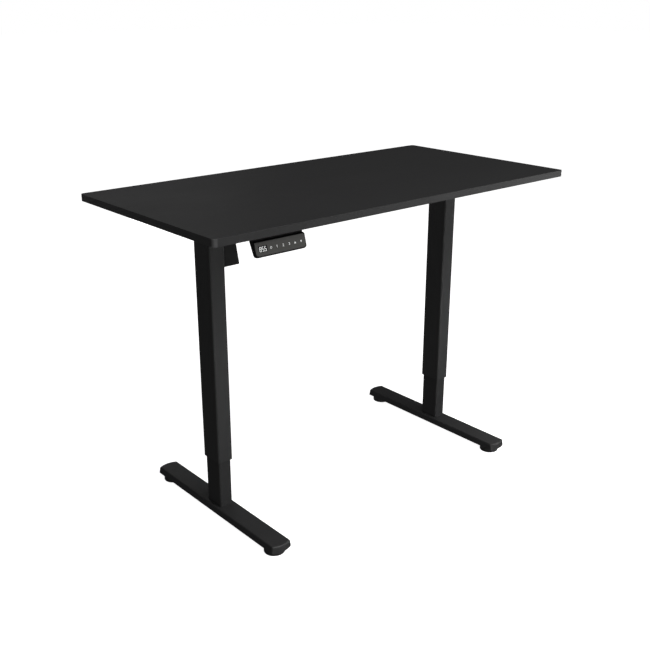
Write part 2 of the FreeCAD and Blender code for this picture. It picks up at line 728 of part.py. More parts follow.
def shaft_gears():
    """The two mitre gears on the drive shaft, half a tooth out of step with the screw gears."""
    gears = []
    hub = OUTER_TUBE_X / 2 - gear_back() - SHOULDER_GAP
    for side in SIDES:
        gear = mitre_gear(hub, SHAFT_FLATS / 2, 180.0 / GEAR_TEETH)
        gear.rotate(ORIGIN, Y_AXIS, -90)
        gear.translate(Vector(SIDES[side], FRAME_Y, SHAFT_Z))
        flats = SHAFT_FLATS + 2 * RUNNING_CLEARANCE
        gears.append(gear.cut(hex_rod_x(SIDES[side], SIDES[side] + OUTER_TUBE_X, flats)))
    return group(gears)


def lead_screw(side):
    """The lead screw: a long threaded length, a shoulder and a journal for bearing and gear."""
    cx = SIDES[side]
    shoulder = RAIL_BOTTOM - SHOULDER_GAP
    journal_top = SHAFT_Z - GEAR_PITCH_RADIUS + GEAR_FACE * math.sqrt(0.5)
    screw = disc(cx, FRAME_Y, SCREW_RADIUS, SCREW_BOTTOM, shoulder)
    tip = [e for e in screw.Edges if e.BoundBox.ZMax < SCREW_BOTTOM + 0.01]
    screw = screw.makeChamfer(1.0, tip)
    return screw.fuse(disc(cx, FRAME_Y, JOURNAL_RADIUS, shoulder, journal_top)).removeSplitter()


def screw_bearings():
    """The two bearings that carry the lead screws."""
    rings = []
    for cx in SIDES.values():
        ring = disc(cx, FRAME_Y, BEARING_RADIUS, RAIL_BOTTOM, bearing_top())
        hole = JOURNAL_RADIUS + RUNNING_CLEARANCE
        rings.append(ring.cut(disc(cx, FRAME_Y, hole, RAIL_BOTTOM - 1, bearing_top() + 1)))
    return group(rings)


def nut_carriers():
    """The blocks in the tops of the inner tubes that hold the lead nuts."""
    bore = inner_bore()
    bottom = INNER_TOP - CARRIER_HEIGHT
    carriers = []
    for cx in SIDES.values():
        solid = rounded_block(cx, FRAME_Y, bore[0], bore[1], bottom, INNER_TOP, INNER_TUBE_RADIUS - TUBE_WALL)
        carriers.append(solid.cut(disc(cx, FRAME_Y, NUT_RADIUS, bottom - 1, INNER_TOP + 1)))
    return group(carriers)


def lead_nuts():
    """The lead nuts: a collar in the carrier and a flange on top of it."""
    bottom = INNER_TOP - CARRIER_HEIGHT
    nuts = []
    for cx in SIDES.values():
        nut = disc(cx, FRAME_Y, NUT_RADIUS, bottom, bottom + NUT_HEIGHT)
        flange = disc(cx, FRAME_Y, NUT_FLANGE_RADIUS, INNER_TOP, INNER_TOP + NUT_FLANGE_HEIGHT)
        hole = disc(cx, FRAME_Y, SCREW_RADIUS + RUNNING_CLEARANCE, bottom - 1, bottom + NUT_HEIGHT + 1)
        nuts.append(nut.fuse(flange).removeSplitter().cut(hole))
    return group(nuts)


def gear_housing(side):
    """The cast box on the top plate, open above, with bores for bearing and shaft."""
    cx = SIDES[side]
    top = RAIL_BOTTOM + HOUSING_HEIGHT - HOUSING_LID
    solid = block_at(cx, FRAME_Y, OUTER_TUBE_X, HOUSING_Y, RAIL_BOTTOM, top)
    solid = solid.cut(block_at(cx, FRAME_Y, OUTER_TUBE_X - 2 * HOUSING_WALL, HOUSING_Y - 2 * HOUSING_WALL,
                               RAIL_BOTTOM + HOUSING_WALL, top + 1))
    solid = solid.cut(disc(cx, FRAME_Y, BEARING_RADIUS, RAIL_BOTTOM - 1, RAIL_BOTTOM + HOUSING_WALL + 1))
    hub_bore = GEAR_HUB_RADIUS + RUNNING_CLEARANCE
    solid = solid.cut(rod_x(cx, cx + OUTER_TUBE_X, FRAME_Y, SHAFT_Z, hub_bore))
    solid = solid.cut(rod_x(cx - OUTER_TUBE_X, cx, FRAME_Y, SHAFT_Z, SHAFT_HOLE_RADIUS))
    if cx < gearbox_start():
        for y, z in gearbox_screw_places():
            solid = solid.cut(rod_x(gearbox_start() - HOUSING_WALL, gearbox_start() + 1, y, z, MOTOR_SCREW_RADIUS))
    return solid


def gear_housing_lids():
    """The two lids of the gear housings."""
    top = RAIL_BOTTOM + HOUSING_HEIGHT
    lids = []
    for cx in SIDES.values():
        lids.append(block_at(cx, FRAME_Y, OUTER_TUBE_X, HOUSING_Y, top - HOUSING_LID, top))
    return group(lids)


def drive_shaft():
    """The hexagonal shaft that turns both lead screws together."""
    reach = OUTER_TUBE_X / 2 - HOUSING_WALL
    return hex_rod_x(SIDES["left"] - reach, SIDES["right"] + reach, SHAFT_FLATS)


# ---------------------------------------------------------------- motor

def gearbox_start():
    """The x of the left column's inner face, where the motor gearbox is bolted on."""
    return SIDES["left"] + OUTER_TUBE_X / 2


def gearbox_bottom():
    """The level of the motor gearbox's underside."""
    return DESK_UNDERSIDE - MOTOR_GEARBOX_DROP


def gearbox_screw_places():
    """Positions of the long screws through the gearbox, as (y, z)."""
    half = MOTOR_GEARBOX_Y / 2 - MOTOR_SCREW_INSET
    levels = (RAIL_BOTTOM + MOTOR_SCREW_INSET, RAIL_BOTTOM + HOUSING_HEIGHT - HOUSING_LID - MOTOR_SCREW_INSET)
    return [(FRAME_Y + y, z) for y in (-half, half) for z in levels]


def motor_gearbox():
    """The worm gearbox block above the motor, bored for the drive sleeve."""
    x0 = gearbox_start()
    x1 = x0 + MOTOR_GEARBOX_X
    top = RAIL_BOTTOM + HOUSING_HEIGHT
    solid = block(x0, x1, FRAME_Y - MOTOR_GEARBOX_Y / 2, FRAME_Y + MOTOR_GEARBOX_Y / 2, gearbox_bottom(), top)
    solid = solid.makeFillet(2.0, [e for e in edges_along(solid, Z_AXIS) if e.BoundBox.XMin > x1 - 0.01])
    solid = solid.cut(rod_x(x0 - 1, x1 + 1, FRAME_Y, SHAFT_Z, SLEEVE_RADIUS + RUNNING_CLEARANCE))
    for y, z in gearbox_screw_places():
        solid = solid.cut(rod_x(x0 - 1, x1 + 1, y, z, MOTOR_SCREW_RADIUS))
    screw_z = DESK_UNDERSIDE - COVER_SCREW_DROP
    return solid.cut(rod_x(x1 - 8, x1 + 1, FRAME_Y, screw_z, MOTOR_SCREW_RADIUS))


def drive_sleeve():
    """The sleeve in the gearbox that grips the hexagonal shaft."""
    x0 = gearbox_start() + SHOULDER_GAP
    x1 = gearbox_start() + MOTOR_GEARBOX_X - SHOULDER_GAP
    sleeve = rod_x(x0, x1, FRAME_Y, SHAFT_Z, SLEEVE_RADIUS)
    return sleeve.cut(hex_rod_x(x0 - 1, x1 + 1, SHAFT_FLATS + 2 * RUNNING_CLEARANCE))


def motor():
    """The upright motor can below the gearbox, with its end boss."""
    cx = gearbox_start() + MOTOR_GEARBOX_X / 2 + COVER_WALL
    bottom = gearbox_bottom() - MOTOR_LENGTH
    can = disc(cx, FRAME_Y, MOTOR_RADIUS, bottom, gearbox_bottom())
    can = can.makeFillet(2.0, [e for e in can.Edges if e.BoundBox.ZMax < bottom + 0.01])
    nose = disc(cx, FRAME_Y, MOTOR_NOSE_RADIUS, bottom - MOTOR_NOSE_LENGTH, bottom)
    return can.fuse(nose).removeSplitter()


def motor_screws():
    """The long screws that bolt the gearbox to the left gear housing."""
    x0 = gearbox_start() - MOTOR_SCREW_BITE
    x1 = gearbox_start() + MOTOR_GEARBOX_X
    screws = []
    for y, z in gearbox_screw_places():
        shank = rod_x(x0, x1, y, z, MOTOR_SCREW_RADIUS)
        head = rod_x(x1, x1 + MOTOR_SCREW_HEAD_HEIGHT, y, z, MOTOR_SCREW_HEAD_RADIUS)
        screws.append(shank.fuse(head).removeSplitter())
    return group(screws)


def cover_section(inset, rise):
    """The cover's rounded outline at a height above its bottom, moved inwards by inset."""
    taper = COVER_DRAFT * rise
    x0 = gearbox_start() + COVER_GAP + inset
    x1 = gearbox_start() + COVER_BOTTOM_X - taper - inset
    half = COVER_BOTTOM_Y / 2 - taper - inset
    z = DESK_UNDERSIDE - COVER_BOTTOM_DROP + rise
    radius = COVER_RADIUS - inset
    y0 = FRAME_Y - half
    y1 = FRAME_Y + half
    turn = radius * (1 - math.sqrt(0.5))
    return Part.Wire([
        Part.LineSegment(Vector(x0, y0, z), Vector(x1 - radius, y0, z)).toShape(),
        Part.Arc(Vector(x1 - radius, y0, z), Vector(x1 - turn, y0 + turn, z),
                 Vector(x1, y0 + radius, z)).toShape(),
        Part.LineSegment(Vector(x1, y0 + radius, z), Vector(x1, y1 - radius, z)).toShape(),
        Part.Arc(Vector(x1, y1 - radius, z), Vector(x1 - turn, y1 - turn, z),
                 Vector(x1 - radius, y1, z)).toShape(),
        Part.LineSegment(Vector(x1 - radius, y1, z), Vector(x0, y1, z)).toShape(),
        Part.LineSegment(Vector(x0, y1, z), Vector(x0, y0, z)).toShape(),
    ])


def motor_cover():
    """The moulded cover round the motor, a little wider at its closed bottom."""
    outside = Part.makeLoft([cover_section(0.0, 0.0), cover_section(0.0, COVER_HEIGHT)], True, True)
    rim = [e for e in outside.Edges if e.BoundBox.ZMax < DESK_UNDERSIDE - COVER_BOTTOM_DROP + 0.01]
    back = gearbox_start() + COVER_GAP + 0.01
    outside = outside.makeFillet(1.5, [e for e in rim if e.BoundBox.XMax > back])
    inside = Part.makeLoft([cover_section(COVER_WALL, COVER_WALL), cover_section(COVER_WALL, COVER_HEIGHT + 1)],
                           True, True)
    solid = outside.cut(inside)
    notch = MOTOR_GEARBOX_Y / 2 + COVER_GAP
    solid = solid.cut(block(gearbox_start(), gearbox_start() + COVER_GAP + COVER_WALL + 1, FRAME_Y - notch,
                            FRAME_Y + notch, gearbox_bottom() - COVER_GAP, DESK_UNDERSIDE))
    screw_z = DESK_UNDERSIDE - COVER_SCREW_DROP
    x0 = gearbox_start() + MOTOR_GEARBOX_X - 1
    return solid.cut(rod_x(x0, x0 + COVER_BOTTOM_X, FRAME_Y, screw_z, MOTOR_SCREW_RADIUS))


def cover_screw():
    """The screw that holds the cover to the gearbox."""
    screw_z = DESK_UNDERSIDE - COVER_SCREW_DROP
    rise = COVER_BOTTOM_DROP - COVER_SCREW_DROP
    seat = gearbox_start() + COVER_BOTTOM_X - COVER_DRAFT * (rise - MOTOR_SCREW_HEAD_RADIUS)
    x0 = gearbox_start() + MOTOR_GEARBOX_X - 8
    shank = rod_x(x0, seat, FRAME_Y, screw_z, MOTOR_SCREW_RADIUS)
    head = rod_x(seat, seat + MOTOR_SCREW_HEAD_HEIGHT, FRAME_Y, screw_z, MOTOR_SCREW_HEAD_RADIUS)
    return shank.fuse(head).removeSplitter()


# ---------------------------------------------------------------- control box

def control_centre_y():
    """The y of the control box's middle, behind the back rail."""
    return rail_y("back") + RAIL_WIDTH / 2 + CONTROL_BACK_GAP + CONTROL_Y / 2


def control_base_top():
    """The level where the shell meets the base plate against the desktop."""
    return DESK_UNDERSIDE - CONTROL_BASE


def socket_places():
    """The small sockets beside the mains inlet, as x positions of their middles."""
    return [CONTROL_CENTRE_X + SOCKET_SPACING * step for step in (0, 1, 2)]


def inlet_x():
    """The x of the mains inlet's middle."""
    return CONTROL_CENTRE_X - CONTROL_X / 4


def control_shell():
    """The control box's moulded shell, open above, with its sockets on the back wall."""
    cy = control_centre_y()
    low = DESK_UNDERSIDE - CONTROL_Z
    top = control_base_top()
    solid = rounded_block(CONTROL_CENTRE_X, cy, CONTROL_X, CONTROL_Y, low, top, CONTROL_RADIUS)
    solid = solid.makeFillet(2.0, [e for e in solid.Edges if e.BoundBox.ZMax < low + 0.01])
    hollow = rounded_block(CONTROL_CENTRE_X, cy, CONTROL_X - 2 * CONTROL_WALL, CONTROL_Y - 2 * CONTROL_WALL,
                           low + CONTROL_WALL, top + 1, CONTROL_RADIUS - CONTROL_WALL)
    solid = solid.cut(hollow)
    back = cy + CONTROL_Y / 2
    middle = (low + top) / 2
    solid = solid.cut(block(inlet_x() - INLET_X / 2, inlet_x() + INLET_X / 2, back - 2 * CONTROL_WALL, back + 1,
                            middle - INLET_Z / 2, middle + INLET_Z / 2))
    for x in socket_places():
        cup = block(x - SOCKET_X / 2 - CONTROL_WALL, x + SOCKET_X / 2 + CONTROL_WALL, back - SOCKET_DEPTH - 2,
                    back - CONTROL_WALL, middle - SOCKET_Z / 2 - 2, middle + SOCKET_Z / 2 + 2)
        slot = block(x - SOCKET_X / 2, x + SOCKET_X / 2, back - SOCKET_DEPTH, back + 1,
                     middle - SOCKET_Z / 2, middle + SOCKET_Z / 2)
        solid = solid.fuse(cup).cut(slot)
    return solid.removeSplitter()


def control_base():
    """The base plate with ears that holds the control box against the desktop."""
    cy = control_centre_y()
    solid = rounded_block(CONTROL_CENTRE_X, cy, CONTROL_X + 2 * CONTROL_EAR, CONTROL_Y,
                          control_base_top(), DESK_UNDERSIDE, CONTROL_RADIUS)
    for x, y, seat in small_screw_places():
        if abs(y - cy) < CONTROL_Y / 2:
            solid = solid.cut(disc(x, y, SMALL_SCREW_RADIUS, control_base_top() - 1, DESK_UNDERSIDE + 1))
    return solid


def control_board():
    """The circuit board inside the control box, on the shell's floor ribs."""
    cy = control_centre_y() - INLET_DEPTH / 2
    low = DESK_UNDERSIDE - CONTROL_Z + CONTROL_WALL
    board = block_at(CONTROL_CENTRE_X, cy, CONTROL_X - 24, CONTROL_Y - 2 * INLET_DEPTH, low, low + 1.6)
    return board


def mains_inlet():
    """The mains inlet: an open cup in the back wall with three pins."""
    back = control_centre_y() + CONTROL_Y / 2
    middle = (DESK_UNDERSIDE - CONTROL_Z + control_base_top()) / 2
    cup = block(inlet_x() - INLET_X / 2, inlet_x() + INLET_X / 2, back - INLET_DEPTH - INLET_SHELL, back,
                middle - INLET_Z / 2, middle + INLET_Z / 2)
    room = block(inlet_x() - INLET_X / 2 + INLET_SHELL, inlet_x() + INLET_X / 2 - INLET_SHELL,
                 back - INLET_DEPTH, back + 1, middle - INLET_Z / 2 + INLET_SHELL,
                 middle + INLET_Z / 2 - INLET_SHELL)
    solid = cup.cut(room)
    for step, rise in ((-1, -2), (0, 2), (1, -2)):
        x = inlet_x() + step * PIN_SPACING
        pin = block(x - PIN_THICKNESS / 2, x + PIN_THICKNESS / 2, back - INLET_DEPTH - 1,
                    back - INLET_DEPTH + PIN_LENGTH, middle + rise - PIN_WIDTH / 2,
                    middle + rise + PIN_WIDTH / 2)
        solid = solid.fuse(pin)
    return solid.removeSplitter()


# ---------------------------------------------------------------- handset

def handset_front_top():
    """The upper front edge of the handset's face, as (y, z)."""
    lean = math.radians(HANDSET_FACE_LEAN)
    bottom_y = -DESK_DEPTH / 2 + HANDSET_SETBACK
    return (bottom_y + HANDSET_FACE_HEIGHT * math.sin(lean), DESK_UNDERSIDE - HANDSET_TOP_DROP)


def face_point(drop, depth):
    """A point behind the face: drop runs down the face from its top, depth runs into the body."""
    lean = math.radians(HANDSET_FACE_LEAN)
    y, z = handset_front_top()
    return (y - drop * math.sin(lean) + depth * math.cos(lean), z - drop * math.cos(lean) - depth * math.sin(lean))


def handset_flange_y():
    """The y of the screws in the handset's mounting flange."""
    return handset_front_top()[0] + HANDSET_FLANGE_DEPTH - 2 * HANDSET_NECK_INSET


def handset_body():
    """The handset's moulded body: a leaning face, a rounded chin and a flange under the desktop."""
    x0 = HANDSET_CENTRE_X - HANDSET_LENGTH / 2
    top_y, top_z = handset_front_top()
    low_y, low_z = face_point(HANDSET_FACE_HEIGHT, 0.0)
    chin_y, chin_z = face_point(HANDSET_FACE_HEIGHT + HANDSET_BOTTOM_DEPTH / 4, HANDSET_BOTTOM_DEPTH / 2)
    back_y, back_z = face_point(HANDSET_FACE_HEIGHT, HANDSET_BOTTOM_DEPTH)
    flange_z = DESK_UNDERSIDE - HANDSET_FLANGE_THICKNESS
    neck = top_y + HANDSET_NECK_INSET
    rear = top_y + HANDSET_TOP_DEPTH
    end = top_y + HANDSET_FLANGE_DEPTH
    outline = [
        Part.LineSegment(Vector(x0, top_y, top_z), Vector(x0, low_y, low_z)),
        Part.Arc(Vector(x0, low_y, low_z), Vector(x0, chin_y, chin_z), Vector(x0, back_y, back_z)),
        Part.LineSegment(Vector(x0, back_y, back_z), Vector(x0, rear, top_z)),
        Part.LineSegment(Vector(x0, rear, top_z), Vector(x0, rear, flange_z)),
        Part.LineSegment(Vector(x0, rear, flange_z), Vector(x0, end, flange_z)),
        Part.LineSegment(Vector(x0, end, flange_z), Vector(x0, end, DESK_UNDERSIDE)),
        Part.LineSegment(Vector(x0, end, DESK_UNDERSIDE), Vector(x0, neck, DESK_UNDERSIDE)),
        Part.LineSegment(Vector(x0, neck, DESK_UNDERSIDE), Vector(x0, neck, top_z + 1.5)),
        Part.LineSegment(Vector(x0, neck, top_z + 1.5), Vector(x0, top_y, top_z)),
    ]
    face = Part.Face(Part.Wire([piece.toShape() for piece in outline]))
    solid = face.extrude(Vector(HANDSET_LENGTH, 0, 0)).common(handset_front_outline())
    solid = solid.cut(face_slab(FACE_PANEL_MARGIN, 0.0, FACE_PANEL_THICKNESS))
    for x, y, seat in small_screw_places():
        if abs(y - handset_flange_y()) < 1:
            solid = solid.cut(disc(x, y, SMALL_SCREW_RADIUS, seat - 1, DESK_UNDERSIDE + 1))
    return solid


def round_lower_corners(slab, radius):
    """Round the two lower corners of an upright slab that faces -Y."""
    low = slab.BoundBox.ZMin + 0.01
    return slab.makeFillet(radius, [e for e in edges_along(slab, Y_AXIS) if e.BoundBox.ZMax < low])


def handset_front_outline():
    """The handset's outline from the front: square above, rounded at both lower corners."""
    chin = HANDSET_FACE_HEIGHT / 2 + HANDSET_BOTTOM_DEPTH / 4
    slab = block(-HANDSET_LENGTH / 2, HANDSET_LENGTH / 2, -DESK_THICKNESS, 2 * HANDSET_FLANGE_DEPTH,
                 -chin, 2 * HANDSET_FACE_HEIGHT)
    return place_on_face(round_lower_corners(slab, HANDSET_CORNER_RADIUS), 0.0)


def face_slab(margin, depth0, depth1):
    """A slab parallel to the handset's face, rounded at its lower corners, between two depths."""
    length = HANDSET_LENGTH - 2 * margin
    height = HANDSET_FACE_HEIGHT - 2 * margin
    slab = block(-length / 2, length / 2, depth0, depth1, -height / 2, height / 2)
    return place_on_face(round_lower_corners(slab, HANDSET_CORNER_RADIUS - margin), 0.0)


def place_on_face(shape, offset):
    """Move a shape drawn about the origin, front towards -Y, onto the middle of the face."""
    y, z = face_point(HANDSET_FACE_HEIGHT / 2, 0.0)
    shape.rotate(ORIGIN, X_AXIS, -HANDSET_FACE_LEAN)
    shape.translate(Vector(HANDSET_CENTRE_X + offset, y, z))
    return shape


def display_slab():
    """The display window's block, set into the face panel."""
    slab = block(-DISPLAY_LENGTH / 2, DISPLAY_LENGTH / 2, 0.0, DISPLAY_DEPTH,
                 -DISPLAY_HEIGHT / 2, DISPLAY_HEIGHT / 2)
    slab = slab.makeFillet(1.0, edges_along(slab, Y_AXIS))
    return place_on_face(slab, DISPLAY_OFFSET)


def handset_face():
    """The flat touch panel let into the front of the handset."""
    return face_slab(FACE_PANEL_MARGIN, 0.0, FACE_PANEL_THICKNESS).cut(display_slab())


def handset_gland():
    """The rubber gland behind the handset, where its lead leaves."""
    rear = handset_front_top()[0] + HANDSET_TOP_DEPTH
    start = Vector(HANDSET_CENTRE_X + HANDSET_LENGTH / 4, rear, DESK_UNDERSIDE - HANDSET_FLANGE_THICKNESS
                   - GLAND_RADIUS)
    ring = Part.makeCylinder(GLAND_RADIUS, GLAND_LENGTH, start, Y_AXIS)
    return ring.cut(Part.makeCylinder(GLAND_HOLE_RADIUS, GLAND_LENGTH, start, Y_AXIS))


# ---------------------------------------------------------------- all sub-parts

def main():
    """Build every sub-part and write it to its own file."""
    os.makedirs("parts", exist_ok=True)
    save("desktop_board", desktop_board())
    save("edge_band", edge_band())
    save("desktop_screws", desktop_screws())
    save("small_screws", small_screws())
    save("foot_screws", foot_screws())
    save("levelling_nut_plates", levelling_nut_plates())
    save("end_blocks", end_blocks())
    save("nut_carriers", nut_carriers())
    save("lead_nuts", lead_nuts())
    save("rail_front", rail("front"))
    save("rail_back", rail("back"))
    save("rail_nuts", rail_nuts())
    save("frame_bolts", frame_bolts())
    save("screw_bearings", screw_bearings())
    save("gear_housing_lids", gear_housing_lids())
    save("shaft_gears", shaft_gears())
    save("drive_shaft", drive_shaft())
    save("drive_sleeve", drive_sleeve())
    save("motor_gearbox", motor_gearbox())
    save("motor", motor())
    save("motor_screws", motor_screws())
    save("motor_cover", motor_cover())
    save("motor_cover_screw", cover_screw())
    save("control_box_shell", control_shell())
    save("control_box_base", control_base())
    save("control_box_board", control_board())
    save("mains_inlet", mains_inlet())
    save("handset_body", handset_body())
    save("handset_face", handset_face())
    save("handset_display", display_slab())
    save("handset_gland", handset_gland())
    pieces = {
        "foot": foot,
        "inner_tube": inner_tube,
        "inner_glide": inner_glide,
        "outer_tube": outer_tube,
        "lower_bushing": lower_bushing,
        "column_top_plate": column_top_plate,
        "side_bracket": side_bracket,
        "gear_housing": gear_housing,
        "lead_screw": lead_screw,
        "screw_gear": screw_gear,
    }
    for side in SIDES:
        for name, build in pieces.items():
            save(name + "_" + side, build(side))
        for end in ENDS:
            save("levelling_pad_" + end + "_" + side, levelling_pad(side, end))
            save("levelling_stem_" + end + "_" + side, levelling_stem(side, end))


main()
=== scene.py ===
import bpy
import bmesh
import math
import random
from mathutils import Matrix, Vector
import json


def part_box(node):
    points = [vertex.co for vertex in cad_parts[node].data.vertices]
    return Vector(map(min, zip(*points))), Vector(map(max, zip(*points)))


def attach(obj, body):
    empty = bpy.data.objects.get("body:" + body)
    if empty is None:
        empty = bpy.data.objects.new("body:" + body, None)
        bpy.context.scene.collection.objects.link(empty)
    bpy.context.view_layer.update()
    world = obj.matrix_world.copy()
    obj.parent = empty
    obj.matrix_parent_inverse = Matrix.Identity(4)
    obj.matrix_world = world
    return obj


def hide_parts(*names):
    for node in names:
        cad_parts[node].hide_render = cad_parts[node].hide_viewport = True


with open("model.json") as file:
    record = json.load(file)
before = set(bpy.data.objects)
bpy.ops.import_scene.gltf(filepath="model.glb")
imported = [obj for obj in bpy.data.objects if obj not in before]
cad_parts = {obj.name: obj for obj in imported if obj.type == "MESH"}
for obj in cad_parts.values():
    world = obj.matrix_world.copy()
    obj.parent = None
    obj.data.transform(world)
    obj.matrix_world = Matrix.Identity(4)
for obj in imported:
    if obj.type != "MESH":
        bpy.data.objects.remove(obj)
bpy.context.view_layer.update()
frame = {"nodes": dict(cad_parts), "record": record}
NODES = frame["nodes"]
MM = 0.001

# ---- camera and floor, in metres and radians; the lens and its sensor in millimetres ----
CAMERA_PLACE = Vector((-1.5976, -1.8140, 1.3294))
CAMERA_YAW = 0.709
CAMERA_PITCH = 0.352
LENS = 50.0
SENSOR = 36.0
CLIP_END = 100.0
FLOOR_SIZE = 60.0

# ---- lights: name, place, target, size and watts ----
LIGHTS = (
    ("key_right", (2.6, -2.0, 1.0), (0, 0, 0.6), (2.0, 2.0), 25),
    ("key_high", (1.2, -3.0, 3.0), (0, 0, 0.6), (2.0, 2.0), 24),
    ("overhead", (0.0, -2.0, 3.5), (0, 0, 0.6), (3.0, 2.0), 62),
    ("top", (0.0, 0.0, 3.2), (0, 0, 0.6), (3.0, 2.0), 7.5),
    ("low_front", (-0.2, -1.7, 0.22), (-0.2, 0, 0.12), (1.4, 0.3), 2.2),
    ("foot_left", (-0.36, -0.62, 0.26), (-0.40, -0.15, 0.10), (0.14, 0.14), 0.85),
    ("foot_right", (0.47, -0.62, 0.26), (0.43, -0.15, 0.12), (0.14, 0.14), 1.5),
    ("low_left", (-3.2, -2.8, 0.4), (-0.6, -0.3, 0.8), (1.1, 0.9), 22),
    ("rim_back", (0.9, 3.2, 1.7), (-0.3, 0.2, 0.85), (1.6, 0.8), 1.5),
    ("fill_back", (0.2, 3.3, 0.30), (0, 0, 0.45), (2.2, 0.40), 12),
    ("fill_right", (3.5, 0.5, 0.35), (0, 0, 0.45), (1.8, 0.40), 16),
)

# ---- sizes: the rails' underside from the model, then those that a node's box doesn't give ----
RAIL_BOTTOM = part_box("rail_front")[0][2]
OUTER_TUBE_RADIUS = 5.0 * MM
# where the edge band's painted corner highlight starts and where it is full, in from the band's ends
CORNER_HIGHLIGHT_START = 11.0 * MM
CORNER_HIGHLIGHT_FULL = 7.0 * MM
SCREW_LEAD = 8.0 * MM
SCREW_STARTS = 2
SCREW_THREAD_DEPTH = 0.9 * MM
SCREW_COLLAR = 6.0 * MM
JOURNAL_RADIUS = 4.0 * MM
SHOULDER_GAP = 0.1 * MM
STEM_CREST = 4.0 * MM
STEM_ROOT = 3.3 * MM
STEM_PITCH = 1.25 * MM
COLLAR_TOP = 15.92 * MM
COLLAR_HEIGHT = 2.5 * MM
COLLAR_FLATS = 13.8 * MM
HANDSET_LEAN = math.radians(16.4)
PRINT_HEIGHT = 0.12 * MM

# ---- plain screws to replace: node, body, head height, shank radius, pitch, drive ----
UPRIGHT_SCREWS = (
    ("foot_screws", "base", 3.5 * MM, 3.0 * MM, 1.0 * MM, "socket"),
    ("frame_bolts", "upper", 3.5 * MM, 3.0 * MM, 1.0 * MM, "socket"),
    ("desktop_screws", "upper", 2.5 * MM, 2.5 * MM, 1.6 * MM, "cross"),
    ("small_screws", "upper", 2.2 * MM, 1.75 * MM, 1.2 * MM, "cross"),
)
LEVEL_SCREWS = ("motor_screws", "motor_cover_screw")
LEVEL_SCREW_HEAD = 2.5 * MM
LEVEL_SCREW_RADIUS = 2.0 * MM
LEVEL_SCREW_PITCH = 0.8 * MM

# ---- nodes that wear a material other than their slot's; the inner tubes' darker paint is painted shade ----
OTHER_FINISHES_AND_SHADE = {
    "handset_display": "display_glass",
    # the inner tubes wear a darker copy of the frame paint: painted shade, as if the outer tubes above
    # shaded them
    "inner_tube_left": "frame_paint_inner",
    "inner_tube_right": "frame_paint_inner",
}

# ---- tolerances ----
TINY = 1e-6
TOUCHING = 1e-7

# ---- a Mix node's colour sockets, which share their names with its number sockets ----
MIX_COLOUR_A = 6
MIX_COLOUR_B = 7
MIX_COLOUR_OUT = 2


def corners(node):
    """A node's lowest and highest corners at rest."""
    low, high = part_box(node)
    return Vector(low), Vector(high)


# ---------------------------------------------------------------- stage, light and camera

def add_camera():
    """The camera at the photograph's place, turned by yaw about Z and pitch downwards."""
    data = bpy.data.cameras.new("camera")
    data.lens = LENS
    data.sensor_width = SENSOR
    data.clip_end = CLIP_END
    camera = bpy.data.objects.new("camera", data)
    bpy.context.collection.objects.link(camera)
    aim = Vector((
        math.cos(CAMERA_PITCH) * math.sin(CAMERA_YAW),
        math.cos(CAMERA_PITCH) * math.cos(CAMERA_YAW),
        -math.sin(CAMERA_PITCH),
    ))
    camera.location = CAMERA_PLACE
    camera.rotation_mode = "QUATERNION"
    camera.rotation_quaternion = aim.to_track_quat("-Z", "Y")
    bpy.context.scene.camera = camera


def add_area(name, place, target, size, power):
    """A soft rectangular light that faces a target."""
    data = bpy.data.lights.new(name, "AREA")
    data.shape = "RECTANGLE"
    data.size = size[0]
    data.size_y = size[1]
    data.energy = power
    light = bpy.data.objects.new(name, data)
    bpy.context.collection.objects.link(light)
    light.location = Vector(place)
    light.rotation_mode = "QUATERNION"
    light.rotation_quaternion = (Vector(target) - Vector(place)).to_track_quat("-Z", "Y")
    light.visible_camera = False


def add_stage():
    """A plain pale floor, a soft world and studio lights."""
    world = bpy.data.worlds.new("studio")
    bpy.context.scene.world = world
    world.use_nodes = True
    tree = world.node_tree
    tree.nodes.clear()
    out = tree.nodes.new("ShaderNodeOutputWorld")
    mix = tree.nodes.new("ShaderNodeMixShader")
    path = tree.nodes.new("ShaderNodeLightPath")
    dim = tree.nodes.new("ShaderNodeBackground")
    dim.inputs["Color"].default_value = (1, 1, 1, 1)
    dim.inputs["Strength"].default_value = 0.07
    pale = tree.nodes.new("ShaderNodeBackground")
    pale.inputs["Color"].default_value = (1, 1, 1, 1)
    pale.inputs["Strength"].default_value = 1.0
    tree.links.new(path.outputs["Is Camera Ray"], mix.inputs["Fac"])
    tree.links.new(dim.outputs[0], mix.inputs[1])
    tree.links.new(pale.outputs[0], mix.inputs[2])
    tree.links.new(mix.outputs[0], out.inputs[0])

    bpy.ops.mesh.primitive_plane_add(size=FLOOR_SIZE, location=(0, 0, 0))
    floor = bpy.context.object
    floor.name = "floor"
    material = bpy.data.materials.new("floor")
    material.use_nodes = True
    shader = material.node_tree.nodes["Principled BSDF"]
    shader.inputs["Base Color"].default_value = (0.85, 0.85, 0.85, 1)
    shader.inputs["Roughness"].default_value = 0.9
    shader.inputs["Specular IOR Level"].default_value = 0.0
    shader.inputs["Emission Color"].default_value = (1, 1, 1, 1)
    shader.inputs["Emission Strength"].default_value = 0.95
    floor.data.materials.append(material)
    floor.visible_glossy = False
    floor.visible_diffuse = False

    for light in LIGHTS:
        add_area(*light)
    bpy.context.scene.view_settings.view_transform = "Standard"


# ---------------------------------------------------------------- materials

def new_tree(name):
    """A material, its node tree and its Principled shader."""
    material = bpy.data.materials.new(name)
    material.use_nodes = True
    tree = material.node_tree
    shader = tree.nodes["Principled BSDF"]
    return material, tree, shader


def coordinates(tree, stretch=(1, 1, 1)):
    """Object coordinates, stretched along the axes."""
    source = tree.nodes.new("ShaderNodeTexCoord")
    mapping = tree.nodes.new("ShaderNodeMapping")
    mapping.inputs["Scale"].default_value = stretch
    tree.links.new(source.outputs["Object"], mapping.inputs["Vector"])
    return mapping.outputs["Vector"]


